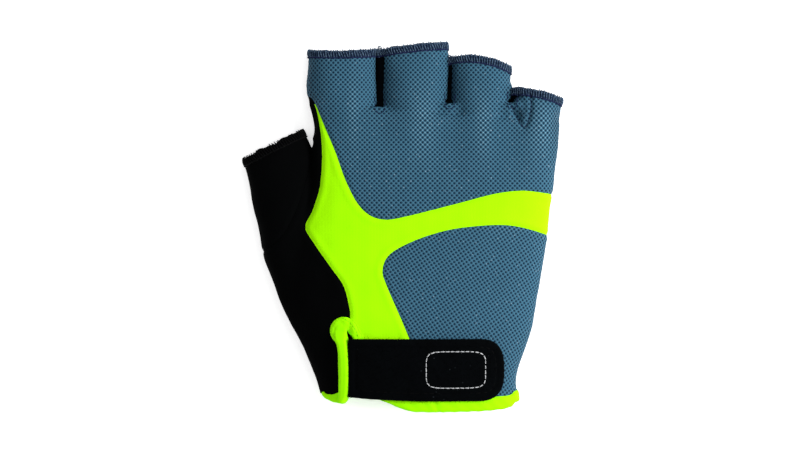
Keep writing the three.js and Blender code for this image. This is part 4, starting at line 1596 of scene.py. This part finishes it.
def grown_by_nodes(name, carrier, tree, inputs, slot):
    """Runs a node tree on a carrier object and keeps the result as a plain mesh piece."""
    modifier = carrier.modifiers.new("nodes", "NODES")
    modifier.node_group = tree
    for item in tree.interface.items_tree:
        if item.in_out == "INPUT" and item.name in inputs:
            modifier[item.identifier] = inputs[item.name]
    graph = bpy.context.evaluated_depsgraph_get()
    mesh = bpy.data.meshes.new_from_object(carrier.evaluated_get(graph), depsgraph=graph)
    if not len(mesh.polygons):
        raise RuntimeError(f"{name}: the nodes made nothing")
    mesh.name = name
    carrier.modifiers.clear()
    data = carrier.data
    bpy.data.objects.remove(carrier)
    bpy.data.meshes.remove(data)
    return finish_piece(linked(name, mesh), slot)


def stitched(name, rows, thread, slot, seed, *sizes):
    """Stitches at points: rows is a list of (points, along, up) in plan millimetres, and the
    sizes are those of THREAD_SIZES."""
    P = np.vstack([r[0] for r in rows])
    mesh = bpy.data.meshes.new(name + "_points")
    mesh.from_pydata(((P + row_offset()) * MM).tolist(), [], [])
    for key, column in (("along", 1), ("up", 2)):
        attribute = mesh.attributes.new(key, "FLOAT_VECTOR", "POINT")
        ways = np.vstack([r[column] for r in rows])
        attribute.data.foreach_set("vector", ways.astype(np.float32).ravel())
    *lengths, unevenness = sizes
    inputs = {title.capitalize(): v * MM for title, v in zip(THREAD_SIZES, lengths)}
    inputs |= {"Uneven": unevenness, "Seed": seed, "Thread": cloth_material(thread)}
    return grown_by_nodes(name, linked(name + "_points", mesh), stitch_tree(), inputs, slot)


def spaced(line, spacing, closed=False):
    """Points at even steps along a 3D line, with the line's direction at each."""
    if closed:
        line = np.vstack((line, line[:1]))
    steps = np.linalg.norm(np.diff(line, axis=0), axis=1)
    run = np.append(0, np.cumsum(steps))
    count = max(2, round(run[-1] / spacing))
    at = (np.arange(count) + 0.5) * run[-1] / count
    points, ahead, behind = (
        np.stack([np.interp(at + by, run, c) for c in line.T], 1) for by in (0, 0.3, -0.3)
    )
    along = ahead - behind
    return points, along / np.linalg.norm(along, axis=1)[:, None]


def on_skin(P, name):
    """Nearest places on a tube's skin, with the skin's normals there."""
    hits = [tube_tree(name).find_nearest(p) for p in P.tolist()]
    return np.array([h[0][:] for h in hits]), np.array([h[1][:] for h in hits])


def dropped_row(plan, spacing, lift):
    """Stitch places along a plan line, laid on the skin from above."""
    points, _ = spaced(np.hstack((plan, np.full((len(plan), 1), 60.0))), spacing)
    hits = [skin_tree().ray_cast(p, (0.0, 0.0, -1.0)) for p in points.tolist()]
    spot = np.array([h[0][:] for h in hits if h[0]])
    up = np.array([h[1][:] for h in hits if h[0]])
    along = np.gradient(spot, axis=0)
    along /= np.maximum(np.linalg.norm(along, axis=1), 1e-9)[:, None]
    return spot + up * lift, along, up


def ring_of(name, inwards):
    """A closed line round a tube, at a distance inwards from its open end."""
    form, centre, across, bow = HEM_FRAMES[name]
    half = np.linalg.norm(across) / 2
    unit = across / (2 * half)
    ahead = turned_left(unit)
    _, _, height, crown, corner, _ = (float(v[0]) for v in form.locate(centre[None]))
    level = EQUATOR * height
    angle = np.linspace(0, math.pi, 60)
    side = half * squared_off(np.cos(angle), crown)
    z = level + (height - level) * squared_off(np.sin(angle), crown)
    quarter = np.linspace(0, math.pi / 2, 12)[1:]
    low_side = half - corner * (1 - np.cos(quarter))
    low_z = level * (1 - np.sin(quarter))
    side = np.concatenate((side, -low_side, low_side[::-1]))
    z = np.concatenate((z, low_z, low_z[::-1]))
    reach = bow * (1 - (side / half) ** 2) - inwards
    plan = centre + side[:, None] * unit + reach[:, None] * ahead
    line = np.hstack((plan, z[:, None]))
    dense, _ = spaced(line, 0.5, closed=True)
    return dense, np.append(ahead, 0.0)


# ---------------------------------------------------------------- laid pieces
def laid_piece(outline, lift, profile, step=0.5):
    """A closed piece that lies on the back of the hand. profile(P, inside) gives how far its
    upper and lower side stand above the lifted form."""
    low, high = outline.min(0) - step, outline.max(0) + step
    x = np.arange(low[0], high[0] + step, step)
    y = np.arange(low[1], high[1] + step, step)
    gx, gy = np.meshgrid(x, y)
    plan = np.stack((gx.ravel(), gy.ravel()), 1)
    n = np.arange(len(plan)).reshape(gx.shape)
    quads = np.stack((n[:-1, :-1], n[:-1, 1:], n[1:, 1:], n[1:, :-1]), -1).reshape(-1, 4)
    flat = np.hstack((plan, np.zeros((len(plan), 1))))
    T = halves(flat, quads)
    inside = inside_outline(plan, outline)
    up = np.tile((0.0, 0.0, 1.0), (len(plan), 1))
    sheet = Sheet(flat, up, T, cut={"inside": inside})
    sheet.clip(sheet.cut("inside"), snap=0.1)
    P = sheet.P.copy()
    P[:, 2] = HAND.top(P, lift)
    normal = normals_of(P, sheet.T)
    upper, lower = profile(P, np.maximum(sheet.cut("inside"), 0))
    top, bottom = P + normal * upper[:, None], P + normal * lower[:, None]
    m = len(P)
    a, b = sheet.border().T
    rim = np.vstack((np.stack((b, a, a + m), 1), np.stack((b, a + m, b + m), 1)))
    return np.vstack((top, bottom)), np.vstack((sheet.T, sheet.T[:, ::-1] + m, rim))


def strap_outline():
    start = place((STRAP_START, STRAP_CENTRE)) + (SEAM_GAP, 0)
    half = STRAP_WIDTH / 2
    x = np.array((0, 6, 14, 24, 34, STRAP_LENGTH - STRAP_END))
    low = -half + np.array((1.6, 1.05, 0.55, 0.15, 0.0, 0.0))
    angle = np.linspace(-math.pi / 2, math.pi / 2, 25)[1:-1]
    ahead = x[-1] + STRAP_END * squared_off(np.cos(angle), 2.7)
    end = np.stack((ahead, half * squared_off(np.sin(angle), 2.7)), 1)
    bottom = np.stack((x, low), 1)
    top = np.array(((x[-1], half), (0.0, half)))
    return np.vstack((bottom, end, top)) + start


# ---------------------------------------------------------------- sizes and colours to change
def length(name, description, default):
    settings = dict(min=0, precision=5, unit="LENGTH", subtype="DISTANCE")
    return FloatProperty(name=name, description=description, default=default, **settings)


def colour(name, description, default):
    settings = dict(size=3, min=0, max=1, subtype="COLOR")
    return FloatVectorProperty(name=name, description=description, default=default, **settings)


class GLOVE_PG_sizes(bpy.types.PropertyGroup):
    """Sizes of the glove's cloth and stitching"""

    hole_pitch: length("Hole pitch", "From one hole of the air mesh to the next", 0.00139)
    hole_depth: length("Hole depth", "How far the holes are sunk into the mesh", 0.00036)
    mesh_wall: length("Mesh thickness", "Thickness of the air mesh", 0.0012)
    yoke_wall: length("Yoke thickness", "Thickness of the lime yoke", 0.0012)
    palm_wall: length("Palm thickness", "Thickness of the lined palm cloth", 0.0018)
    hem_wall: length("Hem thickness", "Thickness of the overlocked finger ends", 0.0017)
    binding_wall: length("Binding thickness", "Thickness of the folded binding tape", 0.0026)
    overlock_spacing: length("Overlock spacing", "From one overlock thread to the next", 0.00105)
    thread_thickness: length("Thread thickness", "Thickness of the overlock thread", 0.00042)
    strap_stitch: length("Strap stitch", "Length of one stitch on the strap", 0.0022)
    fibre_length: length("Fibre length", "Length of the strap's loose fibres", 0.0011)
    fibre_count: IntProperty(
        name="Fibres per cm2",
        description="How many loose fibres the strap carries",
        default=110,
        min=0,
    )
    camera_distance: length("Camera distance", "Height of the camera above the glove", 0.9)


class GLOVE_PG_colours(bpy.types.PropertyGroup):
    """Colours of the glove and its floor"""

    mesh_yarn: colour("Mesh yarn", "Air mesh between its holes", (0.026, 0.088, 0.14))
    # Painted highlight of the raised yarns.
    mesh_light: colour("Mesh light yarn", "Raised yarns of the air mesh", (0.058, 0.155, 0.23))
    mesh_hole: colour("Mesh holes", "What shows through the holes", (0.002, 0.012, 0.03))
    lime: colour("Yoke", "Lime yoke", (0.287, 0.76, 0.0006))
    tape: colour("Binding", "Lime binding tape", (0.265, 0.79, 0.0006))
    palm: colour("Palm", "Black palm and thumb cloth", (0.0007, 0.0008, 0.0009))
    fourchette: colour("Finger sides", "Black cloth between the fingers", (0.0008, 0.0012, 0.002))
    strap: colour("Strap", "Charcoal strap", (0.0007, 0.001, 0.0013))
    hem_dark: colour("Hem shade", "Cloth under the overlock threads", (0.004, 0.01, 0.028))
    hem: colour("Hem thread", "Overlock thread", (0.011, 0.024, 0.052))
    hem_light: colour("Hem thread light", "Lit strands of the overlock thread", (0.075, 0.12, 0.18))
    floor: colour("Floor", "Plain pale floor", (0.9, 0.9, 0.9))


def sizes():
    """The sizes in millimetres by name."""
    settings = bpy.context.scene.glove_sizes
    return {k: getattr(settings, k) / MM for k in settings.__annotations__ if k != "fibre_count"}


# ---------------------------------------------------------------- operators
class GLOVE_OT_mesh_panels(bpy.types.Operator):
    """Air mesh panels on the back: over the knuckles and fingers, and below the yoke"""

    bl_idname = "glove.mesh_panels"
    bl_label = "Mesh panels"

    def execute(self, context):
        s = sizes()
        for zone, turn in MESH_TURNS.items():
            made = mesh_panel(zone, turn, s["hole_pitch"], s["hole_depth"], s["mesh_wall"])
            P, T, uv, values = made
            obj = mesh_object(f"{zone}_back_cloth", P, T, "mesh_cloth", 60, uv, values)
            finish_piece(obj, "mesh_cloth", f"{zone}_back_panel")
        return {"FINISHED"}


def plain_panel(name, zone, wall, cloth, node):
    P, T, _ = panel_of(cut_skin(), zone).thick(0.0, wall)
    return finish_piece(mesh_object(name, P, T, cloth, 60), cloth, node)


class GLOVE_OT_yoke(bpy.types.Operator):
    """Lime yoke that runs from the index finger and the little finger's side to the wrist"""

    bl_idname = "glove.yoke"
    bl_label = "Yoke"

    def execute(self, context):
        plain_panel("yoke_cloth", "yoke", sizes()["yoke_wall"], "lime_cloth", "yoke_panel")
        return {"FINISHED"}


class GLOVE_OT_palm(bpy.types.Operator):
    """Black palm with its sides, and the black thumb"""

    bl_idname = "glove.palm"
    bl_label = "Palm and thumb"

    def execute(self, context):
        wall = sizes()["palm_wall"]
        plain_panel("palm_cloth_panel", "palm", wall, "palm_cloth", "palm_panel")
        plain_panel("thumb_cloth", "thumb", wall, "palm_cloth", "thumb_panel")
        return {"FINISHED"}


class GLOVE_OT_finger_sides(bpy.types.Operator):
    """Black cloth between neighbouring fingers"""

    bl_idname = "glove.finger_sides"
    bl_label = "Finger sides"

    def execute(self, context):
        for i, (a, b) in enumerate(NEIGHBOURS):
            pair = f"{a['name']}_{b['name']}"
            name, node = f"side_cloth_{pair}", f"fourchette_{pair}"
            plain_panel(name, f"fork_{i}", FOURCHETTE_WALL, "fourchette_cloth", node)
        return {"FINISHED"}


def ring_places(name, inwards, spacing):
    """Stitch places round a tube: on its skin, with directions along, up and ahead."""
    line, ahead = ring_of(name, inwards)
    points, along = spaced(line, spacing, closed=True)
    spot, up = on_skin(points, name)
    return spot, along, up, np.broadcast_to(ahead, points.shape)


def raised(P, lowest):
    P = P.copy()
    P[:, 2] = np.maximum(P[:, 2], lowest)
    return P


class GLOVE_OT_hems(bpy.types.Operator):
    """Overlocked ends of the fingers and the thumb, with their threads"""

    bl_idname = "glove.hems"
    bl_label = "Hems"

    def execute(self, context):
        s = sizes()
        for number, name in enumerate(HEM_FRAMES):
            black = name == "thumb"
            slot = "palm_cloth" if black else "overlock_thread"
            cloth = "palm_cloth" if black else "hem_band"
            thread, dark = ("black_thread",) * 2 if black else ("overlock_thread", "navy_thread")
            part = panel_of(cut_skin(), name + "_hem")
            past, _ = beyond_end(part.P, name)
            edge = rounded(np.clip(-past, 0, None), HEM_ROUNDING) * HEM_ROUNDING
            P, T, _ = part.thick(edge - 0.75, s["hem_wall"] - HEM_ROUNDING + edge)
            band = mesh_object(f"{name}_hem_band", raised(P, 0.3), T, cloth, 70)
            finish_piece(band, slot, f"{name}_hem")
            spacing, thickness = s["overlock_spacing"], s["thread_thickness"]
            spot, along, up, _ = ring_places(name, HEM_LENGTH / 2, spacing)
            rows = [(raised(spot, 0.95) + up * 0.02, np.cross(up, along), up)]
            lengths = (HEM_LENGTH + 0.5, 0.9, 0.4, thickness, 0.25)
            stitched(f"{name}_hem_threads", rows, thread, slot, 20 + number, *lengths, 0.14)
            spot, along, up, face = ring_places(name, 0.1, spacing)
            rows = [(raised(spot - up * 0.6, 1.0), np.cross(along, face), face)]
            lengths = (1.5, 0.5, 0.2, thickness, 0.5)
            stitched(f"{name}_hem_edge", rows, thread, slot, 40 + number, *lengths, 0.14)
            spot, along, up, _ = ring_places(name, HEM_LENGTH - 0.1, 1.5)
            rows = [(raised(spot, 0.9) + up * 0.05, along, up)]
            lengths = (1.8, 0.15, 0.3, 0.55, 0.15)
            stitched(f"{name}_hem_line", rows, dark, slot, 60 + number, *lengths, 0.12)
        return {"FINISHED"}


class GLOVE_OT_binding(bpy.types.Operator):
    """Lime tape round the wrist and the slit, its loop, and the bar that holds the strap"""

    bl_idname = "glove.binding"
    bl_label = "Binding"

    def execute(self, context):
        part = panel_of(cut_skin(), "binding")
        radius = BINDING_ROUNDING
        edge = rounded(np.clip(-part.cut("away"), 0, None), radius) * radius
        P, T, _ = part.thick(edge - radius, sizes()["binding_wall"] - radius + edge)
        tape = mesh_object("wrist_tape", raised(P, 0.02), T, "lime_tape", 70)
        outline = np.array([place(p) for p in BAR_OUTLINE])
        strap_top = STRAP_CENTRE * HAND_LENGTH + STRAP_WIDTH / 2

        def profile(P, inside):
            over_strap = smooth_step(strap_top + 3.6, strap_top - 1.4, P[:, 1])
            top = 0.55 + (STRAP_LIFT + STRAP_THICKNESS - 0.95) * over_strap
            return 0.15 + top * rounded(inside, 1.3), -0.5 - 1.2 * rounded(inside, 0.8)

        P, T = laid_piece(outline, 0.5, profile, step=0.4)
        bar = mesh_object("strap_bar", P, T, "lime_tape", 75)
        finish_piece(tape, "lime_tape", "wrist_binding")
        finish_piece(bar, "lime_tape")
        return {"FINISHED"}


class GLOVE_OT_strap(bpy.types.Operator):
    """Brushed wrist strap with the groove for its stitching, and the fastening patch under it"""

    bl_idname = "glove.strap"
    bl_label = "Strap"

    def execute(self, context):
        def profile(P, inside):
            edge = rounded(inside, 1.3)
            groove = 0.3 * bell(inside - STITCH_INSET, 0.55)
            uneven = 0.06 * ripple(P[:, :2], 7.0, 21) + 0.05 * ripple(P[:, :2], 2.5, 22)
            top = STRAP_THICKNESS * (0.35 + 0.65 * edge) - groove + uneven * edge
            return top, 0.3 * (1 - edge)

        P, T = laid_piece(strap_outline(), STRAP_LIFT, profile)
        strap = mesh_object("wrist_strap", P, T, "brushed_loop", 70)
        finish_piece(strap, "brushed_loop", "strap")
        half = np.array((PATCH_LENGTH, PATCH_WIDTH)) / 2
        corners = np.array(((-1, -1), (1, -1), (1, 1), (-1, 1))) * half + place(PATCH_CENTRE)

        def flat_profile(P, inside):
            return PATCH_THICKNESS * (0.5 + 0.5 * rounded(inside, 0.6)), np.zeros(len(P))

        P, T = laid_piece(corners, CLEARANCE, flat_profile, step=0.8)
        patch = mesh_object("fastening_patch", P, T, "brushed_loop", 60)
        finish_piece(patch, "brushed_loop", "strap_patch")
        return {"FINISHED"}


def offset_outline(outline, by):
    """An outline drawn in by a distance, for a row of stitches."""
    before, after = np.roll(outline, 1, 0), np.roll(outline, -1, 0)
    e = after - before
    normal = np.stack((-e[:, 1], e[:, 0]), 1)
    normal /= np.linalg.norm(normal, axis=1)[:, None]
    return outline + normal * by


def laid_row(line, lift, spacing, closed):
    """Stitch places along a plan line that lies on the hand's lifted form."""
    level = HAND.top(line, lift)
    points, along = spaced(np.hstack((line, level[:, None])), spacing, closed)
    nudge = 0.5
    slopes = [
        (HAND.top(points + by, lift) - HAND.top(points - by, lift)) / (2 * nudge)
        for by in ((nudge, 0, 0), (0, nudge, 0))
    ]
    up = np.stack((-slopes[0], -slopes[1], np.ones(len(points))), 1)
    return points, along, up / np.linalg.norm(up, axis=1)[:, None]


class GLOVE_OT_stitching(bpy.types.Operator):
    """Stitches on the strap and binding, and loose fibres on the strap"""

    bl_idname = "glove.stitching"
    bl_label = "Stitching"

    def execute(self, context):
        s = sizes()
        outline = strap_outline()
        line = offset_outline(outline, STITCH_INSET)
        line = line[(outline[:, 0] > outline[:, 0].min() + 1) | (np.arange(len(line)) == 0)]
        line = line[line[:, 0] > outline[:, 0].min() + 1.0]
        height = STRAP_LIFT + STRAP_THICKNESS - 0.3
        rows = [laid_row(line, height, s["strap_stitch"] + 0.5, False)]
        lengths = (s["strap_stitch"], 0.0, 0.22, 0.4, 0.1)
        stitched("strap_stitches", rows, "black_thread", "brushed_loop", 3, *lengths, 0.05)
        angle = np.linspace(0, 2 * math.pi, 97)[:-1]
        turn = np.stack((np.cos(angle), np.sin(angle)), 1)
        frame_line = STITCHED_FRAME * squared_off(turn, 5) + place(STITCHED_FRAME_CENTRE)
        rows = [laid_row(frame_line, height + 0.3, 2.0, True)]
        lengths = (1.6, 0.0, 0.2, 0.42, 0.1)
        stitched("strap_patch_stitches", rows, "grey_thread", "brushed_loop", 4, *lengths, 0.05)
        rows = []
        for number in SLOTS:
            turn = np.linspace(0, math.pi, 9)
            bend = [(-1.9 * math.cos(t) + 0.3, -0.6 - 1.9 * math.sin(t)) for t in turn]
            path = [(-1.9, 4.5)] + bend + [(2.6, 3.5)]
            plan = np.array([slot_point(number, *p) for p in path])
            rows.append(dropped_row(plan, 1.15, 0.05))
        lengths = (0.9, 0.0, 0.12, 0.34, 0.08)
        stitched("fork_stitches", rows, "navy_thread", "overlock_thread", 5, *lengths, 0.1)
        rows = [dropped_row(spline(LOOP_FOLD), 1.3, 0.02)]
        lengths = (1.0, 0.0, 0.1, 0.3, 0.1)
        stitched("loop_stitches", rows, "lime_thread", "lime_tape", 7, *lengths, 0.05)
        rows = [dropped_row(spline(LITTLE_FOLD), 1.2, 0.05)]
        lengths = (0.8, 0.0, 0.12, 0.32, 0.08)
        stitched("tuck_stitches", rows, "navy_thread", "overlock_thread", 6, *lengths, 0.1)
        strap = bpy.data.objects["wrist_strap"]
        carrier = strap.copy()
        carrier.data = strap.data.copy()
        for key in list(carrier.keys()):
            del carrier[key]
        bpy.context.scene.collection.objects.link(carrier)
        inputs = {
            "Density": context.scene.glove_sizes.fibre_count * 1e4,
            "Length": s["fibre_length"] * MM,
            "Thickness": 0.00007,
            "Seed": 9,
            "Fibre": cloth_material("brushed_loop"),
        }
        grown_by_nodes("strap_fuzz", carrier, fuzz_tree(), inputs, "brushed_loop")
        return {"FINISHED"}


# Metres, and watts for the lamps: name, power, size, place; they shine at the origin.
FLOOR_REACH = 3.0
FLOOR_LEVEL = -0.0001
SKY_LIGHT = 0.55
LAMPS = (
    ("key", 15.0, 0.5, (0.8, 0.12, 0.6)),
    ("fill", 5.0, 1.4, (-0.1, 0.3, 1.3)),
)
VIEW_LEVEL = 0.012  # height at which the picture is VIEW_WIDTH across


class GLOVE_OT_stage(bpy.types.Operator):
    """Plain pale floor, soft studio light and the camera straight above"""

    bl_idname = "glove.stage"
    bl_label = "Stage"

    def execute(self, context):
        scene = context.scene
        mesh = bpy.data.meshes.new("floor")
        corners = ((-1, -1), (1, -1), (1, 1), (-1, 1))
        corners = [(x * FLOOR_REACH, y * FLOOR_REACH, FLOOR_LEVEL) for x, y in corners]
        mesh.from_pydata(corners, [], [(0, 1, 2, 3)])
        mesh.materials.append(cloth_material("floor"))
        linked("floor", mesh)
        scene.world = bpy.data.worlds.new("studio")
        scene.world.use_nodes = True
        background = scene.world.node_tree.nodes["Background"]
        background.inputs[0].default_value = (1, 1, 1, 1)
        background.inputs[1].default_value = SKY_LIGHT
        for name, energy, size, at in LAMPS:
            light = bpy.data.lights.new(name, "AREA")
            light.energy, light.size = energy, size
            lamp = linked(name, light)
            lamp.location = at
            lamp.rotation_euler = (-Vector(at)).to_track_quat("-Z", "Y").to_euler()
        camera = bpy.data.cameras.new("camera")
        distance = scene.glove_sizes.camera_distance
        camera.sensor_width = 36.0
        camera.lens = camera.sensor_width * distance / (VIEW_WIDTH * MM)
        camera.clip_start, camera.clip_end = 0.01, 20
        centre = (place(VIEW_CENTRE) + row_offset()[:2]) * MM
        scene.camera = linked("camera", camera)
        scene.camera.location = (*centre, VIEW_LEVEL + distance)
        scene.view_settings.view_transform = "Standard"
        return {"FINISHED"}


class GLOVE_PT_panel(bpy.types.Panel):
    """The glove's pieces and sizes in the sidebar"""

    bl_idname = "GLOVE_PT_panel"
    bl_label = "Cycling glove"
    bl_space_type = "VIEW_3D"
    bl_region_type = "UI"
    bl_category = "Glove"

    def draw(self, context):
        layout = self.layout
        for cls in OPERATORS:
            layout.operator(cls.bl_idname)
        scene = context.scene
        for title, settings in (("Sizes", scene.glove_sizes), ("Colours", scene.glove_colours)):
            box = layout.box()
            box.label(text=title)
            for key in settings.__annotations__:
                box.prop(settings, key)


OPERATORS = (
    GLOVE_OT_mesh_panels,
    GLOVE_OT_yoke,
    GLOVE_OT_palm,
    GLOVE_OT_finger_sides,
    GLOVE_OT_hems,
    GLOVE_OT_binding,
    GLOVE_OT_strap,
    GLOVE_OT_stitching,
    GLOVE_OT_stage,
)
CLASSES = (GLOVE_PG_sizes, GLOVE_PG_colours, *OPERATORS, GLOVE_PT_panel)


def register():
    for cls in CLASSES:
        bpy.utils.register_class(cls)
    bpy.types.Scene.glove_sizes = PointerProperty(type=GLOVE_PG_sizes)
    bpy.types.Scene.glove_colours = PointerProperty(type=GLOVE_PG_colours)


def unregister():
    del bpy.types.Scene.glove_colours
    del bpy.types.Scene.glove_sizes
    for cls in reversed(CLASSES):
        bpy.utils.unregister_class(cls)


def main():
    register()
    for cls in OPERATORS:
        getattr(bpy.ops.glove, cls.bl_idname.split(".")[1])()


if __name__ == "__main__":
    main()
